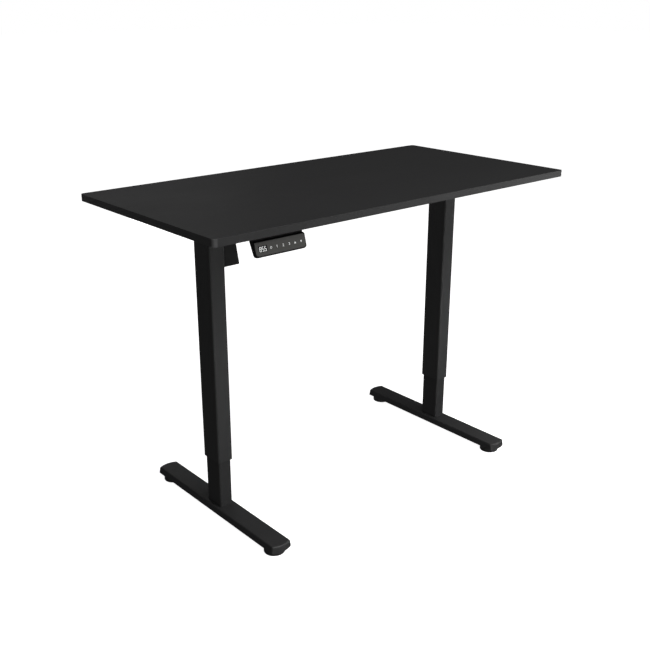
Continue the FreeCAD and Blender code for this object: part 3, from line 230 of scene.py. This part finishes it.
def noise(tree, vector, scale, detail=4.0, rough=0.55):
    """A noise texture's value."""
    node = tree.nodes.new("ShaderNodeTexNoise")
    node.inputs["Scale"].default_value = scale
    node.inputs["Detail"].default_value = detail
    node.inputs["Roughness"].default_value = rough
    tree.links.new(vector, node.inputs["Vector"])
    return node.outputs["Fac"]


def spread(tree, value, low, high, start=0.3, end=0.7):
    """A value remapped between two numbers."""
    node = tree.nodes.new("ShaderNodeMapRange")
    node.inputs["From Min"].default_value = start
    node.inputs["From Max"].default_value = end
    node.inputs["To Min"].default_value = low
    node.inputs["To Max"].default_value = high
    tree.links.new(value, node.inputs["Value"])
    return node.outputs["Result"]


def tint(tree, value, dark, light):
    """A colour between two colours, picked by a value."""
    ramp = tree.nodes.new("ShaderNodeValToRGB")
    ramp.color_ramp.elements[0].position = 0.3
    ramp.color_ramp.elements[0].color = (*dark, 1)
    ramp.color_ramp.elements[1].position = 0.7
    ramp.color_ramp.elements[1].color = (*light, 1)
    tree.links.new(value, ramp.inputs["Fac"])
    return ramp.outputs["Color"]


def bump(tree, shader, value, strength, distance):
    """Surface relief from a value."""
    node = tree.nodes.new("ShaderNodeBump")
    node.inputs["Strength"].default_value = strength
    node.inputs["Distance"].default_value = distance
    tree.links.new(value, node.inputs["Height"])
    tree.links.new(node.outputs["Normal"], shader.inputs["Normal"])


def textured(name, colour, vary, roughness, relief, scales, metallic=0.0, specular=0.5, coat=0.0,
             stretch=(1, 1, 1)):
    """A material with a broad tint change, a fine grain, roughness that follows both, and relief.

    vary is how far the tint moves, roughness is (low, high), relief is (strength, distance) and
    scales is (broad, fine) in waves per metre.
    """
    fine_share, broad_share = 0.45, 0.55
    material, tree, shader = new_tree(name)
    vector = coordinates(tree, stretch)
    broad = noise(tree, vector, scales[0], 3.0)
    fine = noise(tree, vector, scales[1], 5.0, 0.6)
    blend = tree.nodes.new("ShaderNodeMath")
    blend.operation = "MULTIPLY_ADD"
    blend.inputs[1].default_value = fine_share
    tree.links.new(fine, blend.inputs[0])
    part = tree.nodes.new("ShaderNodeMath")
    part.operation = "MULTIPLY"
    part.inputs[1].default_value = broad_share
    tree.links.new(broad, part.inputs[0])
    tree.links.new(part.outputs[0], blend.inputs[2])
    dark = [c * (1 - vary) for c in colour]
    light = [c * (1 + vary) for c in colour]
    tree.links.new(tint(tree, blend.outputs[0], dark, light), shader.inputs["Base Color"])
    tree.links.new(spread(tree, blend.outputs[0], *roughness), shader.inputs["Roughness"])
    shader.inputs["Metallic"].default_value = metallic
    shader.inputs["Specular IOR Level"].default_value = specular
    shader.inputs["Coat Weight"].default_value = coat
    bump(tree, shader, fine, *relief)
    return material


def painted_corner_highlight(material, colour):
    """Paint a highlight into the band's colour: paler where it bends round the desktop's four corners."""
    tree = material.node_tree
    shader = tree.nodes["Principled BSDF"]
    source = tree.nodes.new("ShaderNodeTexCoord")
    apart = tree.nodes.new("ShaderNodeSeparateXYZ")
    tree.links.new(source.outputs["Object"], apart.inputs[0])
    far_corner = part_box("edge_band")[1]
    masks = []
    for axis, reach in (("X", far_corner[0]), ("Y", far_corner[1])):
        size = tree.nodes.new("ShaderNodeMath")
        size.operation = "ABSOLUTE"
        tree.links.new(apart.outputs[axis], size.inputs[0])
        start, full = reach - CORNER_HIGHLIGHT_START, reach - CORNER_HIGHLIGHT_FULL
        masks.append(spread(tree, size.outputs[0], 0.0, 1.0, start, full))
    both = tree.nodes.new("ShaderNodeMath")
    both.operation = "MULTIPLY"
    tree.links.new(masks[0], both.inputs[0])
    tree.links.new(masks[1], both.inputs[1])
    # mix the painted highlight's pale grey into the band's colour at the corners
    mix = tree.nodes.new("ShaderNodeMix")
    mix.data_type = "RGBA"
    mix.inputs[MIX_COLOUR_B].default_value = (*colour, 1)
    tree.links.new(both.outputs[0], mix.inputs["Factor"])
    tree.links.new(shader.inputs["Base Color"].links[0].from_socket, mix.inputs[MIX_COLOUR_A])
    tree.links.new(mix.outputs[MIX_COLOUR_OUT], shader.inputs["Base Color"])
    return material


def lamp_or_painted_glow(name, colour, vary, strength):
    """A lamp, or a print that glows as painted light: a textured surface that also gives a little light.
    """
    material = textured(name, colour, vary, (0.4, 0.55), (0.05, 0.0001), (90, 1500))
    shader = material.node_tree.nodes["Principled BSDF"]
    shader.inputs["Emission Color"].default_value = (*colour, 1)
    shader.inputs["Emission Strength"].default_value = strength
    return material


def grey(level):
    """A grey with a trace of blue."""
    return level, level, level * 1.02


def make_materials():
    """Every material by name: one for each of the record's slots, then those in OTHER_FINISHES_AND_SHADE and
    those that only new pieces wear.
    """
    return {
        "desktop_laminate": textured(
            "desktop_laminate", grey(0.022), 0.12, (0.46, 0.62), (0.45, 0.0003), (5, 850),
            specular=0.3, stretch=(0.35, 1, 1)),
        # the edge band's corners carry a painted highlight, the paler grey below
        "edge_band": painted_corner_highlight(
            textured("edge_band", grey(0.021), 0.08, (0.42, 0.52), (0.2, 0.0002), (9, 700), specular=0.45),
            grey(0.085)),
        "frame_paint": textured(
            "frame_paint", grey(0.024), 0.12, (0.44, 0.62), (0.55, 0.0004), (12, 600), specular=0.35),
        "glide_plastic": textured(
            "glide_plastic", grey(0.03), 0.1, (0.4, 0.5), (0.1, 0.0002), (20, 600)),
        "cast_housing": textured(
            "cast_housing", grey(0.05), 0.2, (0.5, 0.65), (0.6, 0.0006), (30, 350)),
        "machined_steel": textured(
            "machined_steel", grey(0.5), 0.12, (0.22, 0.36), (0.15, 0.0002), (30, 500),
            metallic=1.0, stretch=(1, 1, 12)),
        "gear_steel": textured(
            "gear_steel", grey(0.4), 0.15, (0.3, 0.45), (0.2, 0.0002), (60, 700), metallic=1.0),
        "zinc_steel": textured(
            "zinc_steel", (0.55, 0.55, 0.53), 0.12, (0.28, 0.42), (0.15, 0.0002), (80, 900), metallic=1.0),
        "nut_brass": textured(
            "nut_brass", (0.62, 0.46, 0.2), 0.15, (0.3, 0.42), (0.15, 0.0002), (60, 700), metallic=1.0),
        "motor_can": textured(
            "motor_can", grey(0.06), 0.15, (0.35, 0.5), (0.2, 0.0003), (30, 500)),
        "cover_plastic": textured(
            "cover_plastic", grey(0.004), 0.15, (0.42, 0.52), (0.25, 0.0003), (25, 800), specular=0.2),
        "box_plastic": textured(
            "box_plastic", grey(0.03), 0.12, (0.5, 0.62), (0.5, 0.0003), (25, 900)),
        "circuit_board": textured(
            "circuit_board", (0.015, 0.09, 0.03), 0.2, (0.3, 0.45), (0.2, 0.0002), (60, 500)),
        "handset_plastic": textured(
            "handset_plastic", grey(0.003), 0.12, (0.5, 0.6), (0.4, 0.0003), (40, 1200), specular=0.2),
        "handset_panel": textured(
            "handset_panel", (0.043, 0.042, 0.0385), 0.05, (0.36, 0.44), (0.06, 0.0001), (30, 900),
            specular=0.4),
        "pad_plastic": textured(
            "pad_plastic", grey(0.018), 0.15, (0.5, 0.62), (0.4, 0.0004), (40, 600)),
        "gland_rubber": textured(
            "gland_rubber", grey(0.02), 0.15, (0.65, 0.8), (0.4, 0.0004), (60, 700)),
        # a darker copy of frame_paint: painted shade on the inner tubes
        "frame_paint_inner": textured(
            "frame_paint_inner", grey(0.0195), 0.12, (0.46, 0.62), (0.45, 0.0004), (12, 600),
            specular=0.33),
        "display_glass": textured(
            "display_glass", (0.020, 0.020, 0.021), 0.08, (0.12, 0.2), (0.03, 0.0001), (60, 900)),
        # the printed legends glow though they are no lamp: painted light
        "legend_ink": lamp_or_painted_glow("legend_ink", (0.80, 0.81, 0.80), 0.08, 0.15),
        "display_light": lamp_or_painted_glow("display_light", (0.9, 0.92, 0.9), 0.06, 0.45),
        "status_light": lamp_or_painted_glow("status_light", (0.10, 0.55, 0.16), 0.10, 0.3),
    }


def dress_nodes(materials):
    """Give each CAD node its own material (painted shade for the inner tubes), or else the material of its
    slot.
    """
    for part in frame["record"]["subparts"]:
        finish = OTHER_FINISHES_AND_SHADE.get(part["node"], part["material_slot"])
        mesh = NODES[part["node"]].data
        mesh.materials.clear()
        mesh.materials.append(materials[finish])


# ---------------------------------------------------------------- mesh tools

def constant(radius):
    """A round ring's radius at any angle."""
    return lambda angle: radius


def scaled(rule, share):
    """A ring's radius rule times a share."""
    return lambda angle: rule(angle) * share


def hex_ring(flats):
    """A hexagonal ring's radius at an angle, for its size across flats."""
    def radius(angle):
        off = (angle + math.pi / 6) % (math.pi / 3) - math.pi / 6
        return flats / 2 / math.cos(off)
    return radius


def cross_ring(reach, width):
    """A four-armed cross's radius at an angle."""
    def radius(angle):
        off = abs((angle + math.pi / 4) % (math.pi / 2) - math.pi / 4)
        arm = reach / math.cos(off)
        side = width / 2 / max(math.sin(off), TINY)
        return min(arm, side)
    return radius


def turned(bm, rings, place, columns=24, close_start=True, close_end=True):
    """A solid through rings of (radius rule, height), about the local Z axis of a place."""
    rows = []
    for rule, height in rings:
        row = []
        for column in range(columns):
            angle = 2 * math.pi * column / columns
            radius = rule(angle)
            point = Vector((radius * math.cos(angle), radius * math.sin(angle), height))
            row.append(bm.verts.new(place @ point))
        rows.append(row)
    for low, high in zip(rows, rows[1:]):
        for column in range(columns):
            beside = (column + 1) % columns
            bm.faces.new((low[column], low[beside], high[beside], high[column]))
    if close_start:
        bm.faces.new(list(reversed(rows[0])))
    if close_end:
        bm.faces.new(rows[-1])


def threaded(bm, crest, root, lead, starts, low, high, place, columns=20):
    """A trapezoidal thread's flanks from low to high about the local Z axis; its ends are left open."""
    pitch = lead / starts
    steps = ((0.0, root), (0.2, crest), (0.5, crest), (0.7, root))
    turns = math.ceil((high - low) / pitch) + starts + 1
    rows = []
    for turn in range(turns):
        for share, radius in steps:
            row = []
            for column in range(columns):
                angle = 2 * math.pi * column / columns
                height = low + (turn + share) * pitch + lead * column / columns - lead
                height = min(max(height, low), high)
                point = Vector((radius * math.cos(angle), radius * math.sin(angle), height))
                row.append((height, place @ point))
            rows.append(row)
    shift = starts * len(steps)
    verts = [[bm.verts.new(point) for _, point in row] for row in rows]
    for index in range(len(rows) - 1):
        for column in range(columns):
            wrap = column == columns - 1
            right = index + shift if wrap else index
            if right + 1 >= len(rows):
                continue
            beside = 0 if wrap else column + 1
            quad = ((index, column), (right, beside), (right + 1, beside), (index + 1, column))
            heights = [rows[i][j][0] for i, j in quad]
            flat = max(heights) - min(heights) < TOUCHING
            if flat and (min(heights) <= low or max(heights) >= high):
                continue
            bm.faces.new([verts[i][j] for i, j in quad])
    loose = [vert for vert in bm.verts if not vert.link_faces]
    bmesh.ops.delete(bm, geom=loose, context="VERTS")


def ribbon(bm, points, width, place, thickness, closed=False):
    """A flat printed stroke of even width along points, raised by its thickness from local z 0."""
    count = len(points)
    left, right = [], []
    for index, point in enumerate(points):
        before = points[index - 1] if closed or index > 0 else None
        after = points[(index + 1) % count] if closed or index < count - 1 else None
        one = (Vector(point) - Vector(before)).normalized() if before is not None else None
        two = (Vector(after) - Vector(point)).normalized() if after is not None else None
        one = two if one is None else one
        two = one if two is None else two
        mean = (one + two).normalized()
        side = Vector((-mean.y, mean.x))
        reach = width / 2 / max(side.dot(Vector((-one.y, one.x))), 0.45)
        left.append(Vector(point) + side * reach)
        right.append(Vector(point) - side * reach)

    def lift(flat, height):
        return bm.verts.new(place @ Vector((flat.x, flat.y, height)))

    low = [(lift(a, 0), lift(b, 0)) for a, b in zip(left, right)]
    high = [(lift(a, thickness), lift(b, thickness)) for a, b in zip(left, right)]
    for index in range(count if closed else count - 1):
        after = (index + 1) % count
        a, b, c, d = low[index], low[after], high[index], high[after]
        bm.faces.new((c[0], d[0], d[1], c[1]))
        bm.faces.new((a[1], b[1], b[0], a[0]))
        bm.faces.new((a[0], b[0], d[0], c[0]))
        bm.faces.new((b[1], a[1], c[1], d[1]))
    if not closed:
        bm.faces.new((low[0][0], high[0][0], high[0][1], low[0][1]))
        bm.faces.new((low[-1][1], high[-1][1], high[-1][0], low[-1][0]))


def slab(bm, points, place, thickness):
    """A flat outline raised by a thickness from local z 0."""
    low = [bm.verts.new(place @ Vector((x, y, 0))) for x, y in points]
    high = [bm.verts.new(place @ Vector((x, y, thickness))) for x, y in points]
    bm.faces.new(list(reversed(low)))
    bm.faces.new(high)
    for index in range(len(points)):
        after = (index + 1) % len(points)
        bm.faces.new((low[index], low[after], high[after], high[index]))


def finish_piece(bm, name, body, material, replaces=(), smooth_below=40.0):
    """Turn a bmesh into a piece that rides on a body."""
    bmesh.ops.remove_doubles(bm, verts=bm.verts, dist=TOUCHING)
    bmesh.ops.recalc_face_normals(bm, faces=bm.faces)
    limit = math.radians(smooth_below)
    for face in bm.faces:
        face.smooth = True
    for edge in bm.edges:
        if len(edge.link_faces) == 2 and edge.calc_face_angle(0.0) > limit:
            edge.smooth = False
    mesh = bpy.data.meshes.new(name)
    bm.to_mesh(mesh)
    bm.free()
    mesh.materials.append(material)
    piece = bpy.data.objects.new(name, mesh)
    bpy.context.collection.objects.link(piece)
    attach(piece, body)
    if replaces:
        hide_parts(*replaces)
    return piece


def islands(node):
    """The boxes of a node's separate solids, in metres, as (lowest, highest) corners."""
    mesh = NODES[node].data
    leader = {}
    key_of = [tuple(round(c, 7) for c in vert.co) for vert in mesh.vertices]

    def find(key):
        while leader[key] != key:
            leader[key] = leader[leader[key]]
            key = leader[key]
        return key

    for key in key_of:
        leader.setdefault(key, key)
    for edge in mesh.edges:
        one, two = find(key_of[edge.vertices[0]]), find(key_of[edge.vertices[1]])
        leader[one] = two
    groups = {}
    for key in leader:
        groups.setdefault(find(key), []).append(key)
    boxes = []
    for keys in groups.values():
        low = Vector([min(k[i] for k in keys) for i in range(3)])
        high = Vector([max(k[i] for k in keys) for i in range(3)])
        boxes.append((low, high))
    boxes.sort(key=lambda pair: tuple(round(c, 5) for c in pair[0]))
    return boxes


# ---------------------------------------------------------------- fasteners

def screw(bm, place, head_radius, head_height, shank_radius, reach, pitch, drive):
    """A screw whose seat is at the place's origin and whose shank runs along its +Z."""
    if drive == "socket":
        mouth = hex_ring(head_radius)
        columns = 24
    else:
        mouth = cross_ring(head_radius * 0.58, head_radius * 0.24)
        columns = 32
    depth = head_height * 0.62
    root = shank_radius * 0.8
    tip = reach - shank_radius * 0.5
    rings = [
        (constant(root), 0.0),
        (constant(head_radius), 0.0),
        (constant(head_radius), -head_height * 0.55),
        (constant(head_radius * 0.95), -head_height * 0.85),
        (constant(head_radius * 0.80), -head_height),
        (scaled(mouth, 1.06), -head_height),
        (mouth, -head_height * 0.97),
        (scaled(mouth, 0.92), -head_height + depth),
    ]
    turned(bm, rings, place, columns)
    shank = [(constant(root), 0.0), (constant(root), tip), (constant(root * 0.55), reach)]
    turned(bm, shank, place, 16)
    threaded(bm, shank_radius, root, pitch, 1, 0.0, tip, place, 16)


def upright_place(box):
    """A place at the foot of an upright solid's box, its Z upwards."""
    low, high = box
    return Matrix.Translation(((low.x + high.x) / 2, (low.y + high.y) / 2, low.z))


def upright_screws(node, body, head_height, shank_radius, pitch, drive, materials):
    """Detailed screws, driven upwards, in place of a node of plain ones; no two are turned alike."""
    bm = bmesh.new()
    for index, (low, high) in enumerate(islands(node)):
        spin = Matrix.Rotation(0.5 + 1.7 * index, 4, "Z")
        seat = Vector(((low.x + high.x) / 2, (low.y + high.y) / 2, low.z + head_height))
        screw(bm, Matrix.Translation(seat) @ spin, (high.x - low.x) / 2, head_height, shank_radius,
              high.z - low.z - head_height, pitch, drive)
    return finish_piece(bm, f"{node}_{drive}", body, materials["zinc_steel"], (node,))


def level_screws(node, materials):
    """Detailed screws driven towards -X in place of a node of plain ones."""
    bm = bmesh.new()
    for index, (low, high) in enumerate(islands(node)):
        turn = Matrix.Rotation(-math.pi / 2, 4, "Y") @ Matrix.Rotation(0.4 + index, 4, "Z")
        seat = Vector((high.x - LEVEL_SCREW_HEAD, (low.y + high.y) / 2, (low.z + high.z) / 2))
        reach = high.x - low.x - LEVEL_SCREW_HEAD
        screw(bm, Matrix.Translation(seat) @ turn, (high.y - low.y) / 2, LEVEL_SCREW_HEAD,
              LEVEL_SCREW_RADIUS, reach, LEVEL_SCREW_PITCH, "cross")
    return finish_piece(bm, node + "_cross", "upper", materials["zinc_steel"], (node,))


# ---------------------------------------------------------------- lead screws and levelling feet

def lead_screw(side, materials):
    """A two-start lead screw with its plain ends, in place of the plain rod."""
    node = "lead_screw_" + side
    low, high = islands(node)[0]
    place = upright_place((low, high))
    length = high.z - low.z
    crest = (high.x - low.x) / 2
    root = crest - SCREW_THREAD_DEPTH
    shoulder = RAIL_BOTTOM - SHOULDER_GAP - low.z
    thread_end = shoulder - SCREW_COLLAR
    outline = [
        (root * 0.8, 0.0),
        (root, 1.0 * MM),
        (root, thread_end),
        (crest, thread_end),
        (crest, shoulder - 0.4 * MM),
        (crest - 0.4 * MM, shoulder),
        (JOURNAL_RADIUS, shoulder),
        (JOURNAL_RADIUS, length - 0.3 * MM),
        (JOURNAL_RADIUS - 0.3 * MM, length),
    ]
    bm = bmesh.new()
    turned(bm, [(constant(radius), height) for radius, height in outline], place, 24)
    threaded(bm, crest, root, SCREW_LEAD, SCREW_STARTS, 1.5 * MM, thread_end, place, 24)
    return finish_piece(bm, node + "_threaded", "screw_" + side,
                        materials["machined_steel"], (node,), 25.0)


def levelling_pad(place_name, materials):
    """A moulded levelling pad with a rolled rim, a parting groove and a ringed sole."""
    node = "levelling_pad_" + place_name
    low, high = corners(node)
    centre = upright_place((low, high))
    rim = (high.x - low.x) / 2
    top = high.z - low.z
    bore, neck = 4.0 * MM, 8.0 * MM
    shoulder = rim - 3.0 * MM
    sole = []
    for ring in range(5):
        inner = rim * (0.90 - 0.15 * ring)
        sole += [(inner, 0.0), (inner - 1.0 * MM, 0.8 * MM), (inner - 2.2 * MM, 0.8 * MM),
                 (inner - 3.0 * MM, 0.0)]
    outline = [(bore, 0.0)] + list(reversed(sole)) + [
        (rim - 1.6 * MM, 0.0),
        (rim - 0.5 * MM, 0.35 * MM),
        (rim, 1.4 * MM),
        (rim, 5.2 * MM),
        (rim - 0.35 * MM, 5.5 * MM),
        (rim - 0.35 * MM, 6.0 * MM),
        (rim, 6.3 * MM),
        (rim, 8.6 * MM),
        (rim - 0.5 * MM, 10.0 * MM),
        (shoulder + 0.9 * MM, 14.2 * MM),
        (shoulder - 0.2 * MM, 15.3 * MM),
        (shoulder - 1.8 * MM, top),
        (neck + 0.6 * MM, top),
        (neck, top - 0.4 * MM),
        (neck, top - 2.5 * MM),
        (bore, top - 2.5 * MM),
    ]
    bm = bmesh.new()
    turned(bm, [(constant(radius), height) for radius, height in outline + outline[:1]], centre, 64,
           False, False)
    return finish_piece(bm, node + "_moulded", "pad_" + place_name,
                        materials["pad_plastic"], (node,), 30.0)


def levelling_stem(place_name, materials):
    """A levelling foot's stem with a rolled thread and a hexagonal collar."""
    node = "levelling_stem_" + place_name
    low, high = islands(node)[0]
    place = upright_place((low, high))
    length = high.z - low.z
    collar_top = COLLAR_TOP - low.z
    collar_low = collar_top - COLLAR_HEIGHT
    thread_end = length - 0.8 * MM
    flats = hex_ring(COLLAR_FLATS)
    bevel = scaled(flats, 0.96)
    rings = [
        (constant(STEM_CREST), 0.0),
        (constant(STEM_CREST), collar_low),
        (bevel, collar_low),
        (flats, collar_low + 0.3 * MM),
        (flats, collar_top - 0.3 * MM),
        (bevel, collar_top),
        (constant(STEM_ROOT), collar_top),
        (constant(STEM_ROOT), thread_end),
        (constant(STEM_ROOT * 0.7), length),
    ]
    bm = bmesh.new()
    turned(bm, rings, place, 24)
    threaded(bm, STEM_CREST, STEM_ROOT, STEM_PITCH, 1, collar_top, thread_end, place, 20)
    return finish_piece(bm, node + "_threaded", "pad_" + place_name,
                        materials["zinc_steel"], (node,), 30.0)


# ---------------------------------------------------------------- handset

def face_frame():
    """The handset face's place: X along it, Y up it, Z out of it, origin at its middle foot."""
    outward = Vector((0, -math.cos(HANDSET_LEAN), math.sin(HANDSET_LEAN)))
    upward = Vector((0, math.sin(HANDSET_LEAN), math.cos(HANDSET_LEAN)))
    mesh = NODES["handset_face"].data
    level = max(vert.co.dot(outward) for vert in mesh.vertices)
    foot = min(vert.co.dot(upward) for vert in mesh.vertices)
    low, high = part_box("handset_face")
    origin = outward * level + upward * foot
    origin.x = (low[0] + high[0]) / 2
    turn = Matrix.Identity(3)
    turn.col[0] = Vector((1, 0, 0))
    turn.col[1] = upward
    turn.col[2] = outward
    return Matrix.Translation(origin) @ turn.to_4x4()


def legends(materials):
    """The plain key legends printed on the handset's panel: a ring, 1, 2, 3 and two arrows, whose ink
    glows a little as painted light.
    """
    face = face_frame()
    size, stroke, level = 5.2 * MM, 0.85 * MM, 14.0 * MM
    ring_place = -27.6 * MM
    digit_places = {"1": -11.1 * MM, "2": 6.2 * MM, "3": 23.0 * MM}
    strokes = {
        "1": [(-0.22, 0.28), (0.06, 0.5), (0.06, -0.5)],
        "2": [(-0.3, 0.28), (-0.18, 0.47), (0.08, 0.5), (0.28, 0.34), (0.27, 0.12), (0.0, -0.16),
              (-0.3, -0.47), (0.34, -0.47)],
        "3": [(-0.3, 0.44), (0.0, 0.5), (0.26, 0.36), (0.22, 0.12), (-0.04, 0.03), (0.24, -0.08),
              (0.3, -0.32), (0.06, -0.5), (-0.3, -0.44)],
    }
    up_arrow = [(-0.5, -0.42), (0.5, -0.42), (0.0, 0.46)]
    down_arrow = [(-0.5, 0.42), (0.0, -0.46), (0.5, 0.42)]
    bm = bmesh.new()
    radius = 0.42 * size
    circle = [(radius * math.cos(math.pi * step / 12), radius * math.sin(math.pi * step / 12))
              for step in range(24)]
    place = face @ Matrix.Translation((ring_place, level, 0))
    ribbon(bm, circle, stroke, place, PRINT_HEIGHT, True)
    for digit, x in digit_places.items():
        place = face @ Matrix.Translation((x, level, 0))
        ribbon(bm, [(px * size, py * size) for px, py in strokes[digit]], stroke, place, PRINT_HEIGHT)
    for outline, x in ((up_arrow, 39.2 * MM), (down_arrow, 56.6 * MM)):
        place = face @ Matrix.Translation((x, level, 0))
        slab(bm, [(px * size, py * size) for px, py in outline], place, PRINT_HEIGHT)
    return finish_piece(bm, "handset_legends", "upper", materials["legend_ink"])


def display_digits(materials):
    """Three lit seven-segment digits, 85.5, inside the display window."""
    face = face_frame()
    lit = ("abcdefg", "acdfg", "acdfg")
    digit_places = (-56.4 * MM, -49.6 * MM, -42.8 * MM)
    dot_place = -46.2 * MM
    level = 14.4 * MM
    width, height, stroke = 4.2 * MM, 9.6 * MM, 0.95 * MM
    glow_height = 0.10 * MM
    half = height / 2
    gap = stroke * 0.62
    bars = {
        "a": ((-width / 2 + gap, half), (width / 2 - gap, half)),
        "b": ((width / 2, half - gap), (width / 2, gap)),
        "c": ((width / 2, -gap), (width / 2, -half + gap)),
        "d": ((-width / 2 + gap, -half), (width / 2 - gap, -half)),
        "e": ((-width / 2, -gap), (-width / 2, -half + gap)),
        "f": ((-width / 2, half - gap), (-width / 2, gap)),
        "g": ((-width / 2 + gap, 0), (width / 2 - gap, 0)),
    }
    bm = bmesh.new()
    for digit, x in zip(lit, digit_places):
        place = face @ Matrix.Translation((x, level, 0))
        for name in digit:
            start, end = (Vector(point) for point in bars[name])
            along = (end - start).normalized()
            side = Vector((-along.y, along.x)) * stroke / 2
            tip = along * stroke / 2 * 0.9
            outline = [start - tip, start - side, end - side, end + tip, end + side, start + side]
            slab(bm, [(point.x, point.y) for point in outline], place, glow_height)
    dot = face @ Matrix.Translation((dot_place, level - half, 0))
    radius = stroke * 0.6
    slab(bm, [(math.cos(step * math.pi / 6) * radius, math.sin(step * math.pi / 6) * radius)
              for step in range(12)], dot, glow_height)
    return finish_piece(bm, "handset_display_digits", "upper", materials["display_light"])


# ---------------------------------------------------------------- welds

def rounded_path(size_x, size_y, radius, spacing):
    """Evenly spaced points round a rounded rectangle, each with its outward direction."""
    half_x, half_y = size_x / 2 - radius, size_y / 2 - radius
    bends = (
        (half_x, half_y, 0.0),
        (-half_x, half_y, 0.5),
        (-half_x, -half_y, 1.0),
        (half_x, -half_y, 1.5),
    )
    dense = []
    for cx, cy, start in bends:
        for step in range(9):
            angle = math.pi * (start + 0.5 * step / 8)
            out = Vector((math.cos(angle), math.sin(angle)))
            dense.append((Vector((cx, cy)) + out * radius, out))
    path = []
    for index, (point, out) in enumerate(dense):
        after, after_out = dense[(index + 1) % len(dense)]
        pieces = max(1, int(round((after - point).length / spacing)))
        for step in range(pieces):
            share = step / pieces
            path.append((point.lerp(after, share), out.lerp(after_out, share).normalized()))
    return path


def column_weld(side, materials):
    """A rippled fillet weld round an outer tube's top, under the plate that it meets there."""
    low, high = corners("outer_tube_" + side)
    cx, cy = (low.x + high.x) / 2, (low.y + high.y) / 2
    weld_leg, spacing = 2.6 * MM, 0.9 * MM
    section = ((-0.12, -0.12), (-0.12, 0.92), (0.10, 1.0), (0.62, 0.66), (1.0, 0.10), (0.92, -0.12))
    path = rounded_path(high.x - low.x, high.y - low.y, OUTER_TUBE_RADIUS, spacing)
    bm = bmesh.new()
    rows = []
    for index, (point, out) in enumerate(path):
        ripple = 1.0 + 0.13 * abs(math.sin(index * 0.55)) + random.uniform(-0.04, 0.04)
        leg = weld_leg * ripple
        row = []
        for along, drop in section:
            flat = point + out * leg * along
            row.append(bm.verts.new((cx + flat.x, cy + flat.y, high.z - leg * drop)))
        rows.append(row)
    for index in range(len(rows)):
        one, two = rows[index], rows[(index + 1) % len(rows)]
        for step in range(len(one)):
            beside = (step + 1) % len(one)
            bm.faces.new((one[step], one[beside], two[beside], two[step]))
    return finish_piece(bm, "column_weld_" + side, "upper", materials["frame_paint"],
                        smooth_below=60.0)


# ---------------------------------------------------------------- control box and motor details

def control_box_louvres(materials):
    """Two rows of raised round-ended ribs on the underside of the control box."""
    low, high = corners("control_box_shell")
    centre = (low + high) / 2
    rib_height, sunk = 1.0 * MM, 0.2 * MM
    half_length, half_width = 26.0 * MM, 1.4 * MM
    row_offset, pitch, count = 52.0 * MM, 7.0 * MM, 9
    outline = []
    for end in (1, -1):
        for step in range(7):
            angle = -math.pi / 2 + math.pi * step / 6
            outline.append((end * (half_length + half_width * math.cos(angle)),
                            end * half_width * math.sin(angle)))
    down = Matrix.Translation((centre.x, centre.y, low.z + sunk)) @ Matrix.Rotation(math.pi, 4, "X")
    bm = bmesh.new()
    for side in (-1, 1):
        for index in range(count):
            y = (index - (count - 1) / 2) * pitch
            place = down @ Matrix.Translation((side * row_offset, y, 0))
            slab(bm, outline, place, rib_height)
    return finish_piece(bm, "control_box_louvres", "upper", materials["box_plastic"])


def status_lamp(materials):
    """The small domed lamp on the control box's back wall."""
    low, high = corners("control_box_shell")
    end_inset, sunk = 30.0 * MM, 0.3 * MM
    collar, collar_foot, collar_rise = 2.2 * MM, -0.4 * MM, 0.5 * MM
    dome, dome_rise = 1.8 * MM, 1.4 * MM
    place = Matrix.Translation((low.x + end_inset, high.y - sunk, (low.z + high.z) / 2))
    place = place @ Matrix.Rotation(-math.pi / 2, 4, "X")
    bm = bmesh.new()
    rings = [(constant(collar), collar_foot), (constant(collar), collar_rise)]
    for step in range(1, 5):
        angle = math.pi / 2 * step / 5
        rings.append((constant(dome * math.cos(angle)), collar_rise + dome_rise * math.sin(angle)))
    turned(bm, rings, place, 24)
    return finish_piece(bm, "control_box_lamp", "upper", materials["status_light"])


def motor_seams(materials):
    """Two rolled seams round the motor's can, standing a little proud of it."""
    low, high = corners("motor")
    place = upright_place((low, high))
    radius = (high.x - low.x) / 2
    seam_levels = (7.5 * MM, high.z - low.z - 4.5 * MM)
    section = (
        (-0.40 * MM, -1.4 * MM),
        (0.10 * MM, -1.0 * MM),
        (0.35 * MM, -0.3 * MM),
        (0.35 * MM, 0.3 * MM),
        (0.10 * MM, 1.0 * MM),
        (-0.40 * MM, 1.4 * MM),
    )
    bm = bmesh.new()
    for level in seam_levels:
        turned(bm, [(constant(radius + proud), level + along) for proud, along in section], place, 48)
    return finish_piece(bm, "motor_seams", "upper", materials["motor_can"])


# ---------------------------------------------------------------- the scene

MATERIALS = make_materials()
dress_nodes(MATERIALS)

for screw_set in UPRIGHT_SCREWS:
    upright_screws(*screw_set, MATERIALS)
for screw_node in LEVEL_SCREWS:
    level_screws(screw_node, MATERIALS)
for screw_side in ("left", "right"):
    lead_screw(screw_side, MATERIALS)
for pad_place in ("front_left", "front_right", "back_left", "back_right"):
    levelling_pad(pad_place, MATERIALS)
    levelling_stem(pad_place, MATERIALS)
random.seed(7)
for tube_side in ("left", "right"):
    column_weld(tube_side, MATERIALS)
legends(MATERIALS)
display_digits(MATERIALS)
control_box_louvres(MATERIALS)
status_lamp(MATERIALS)
motor_seams(MATERIALS)

add_stage()
add_camera()
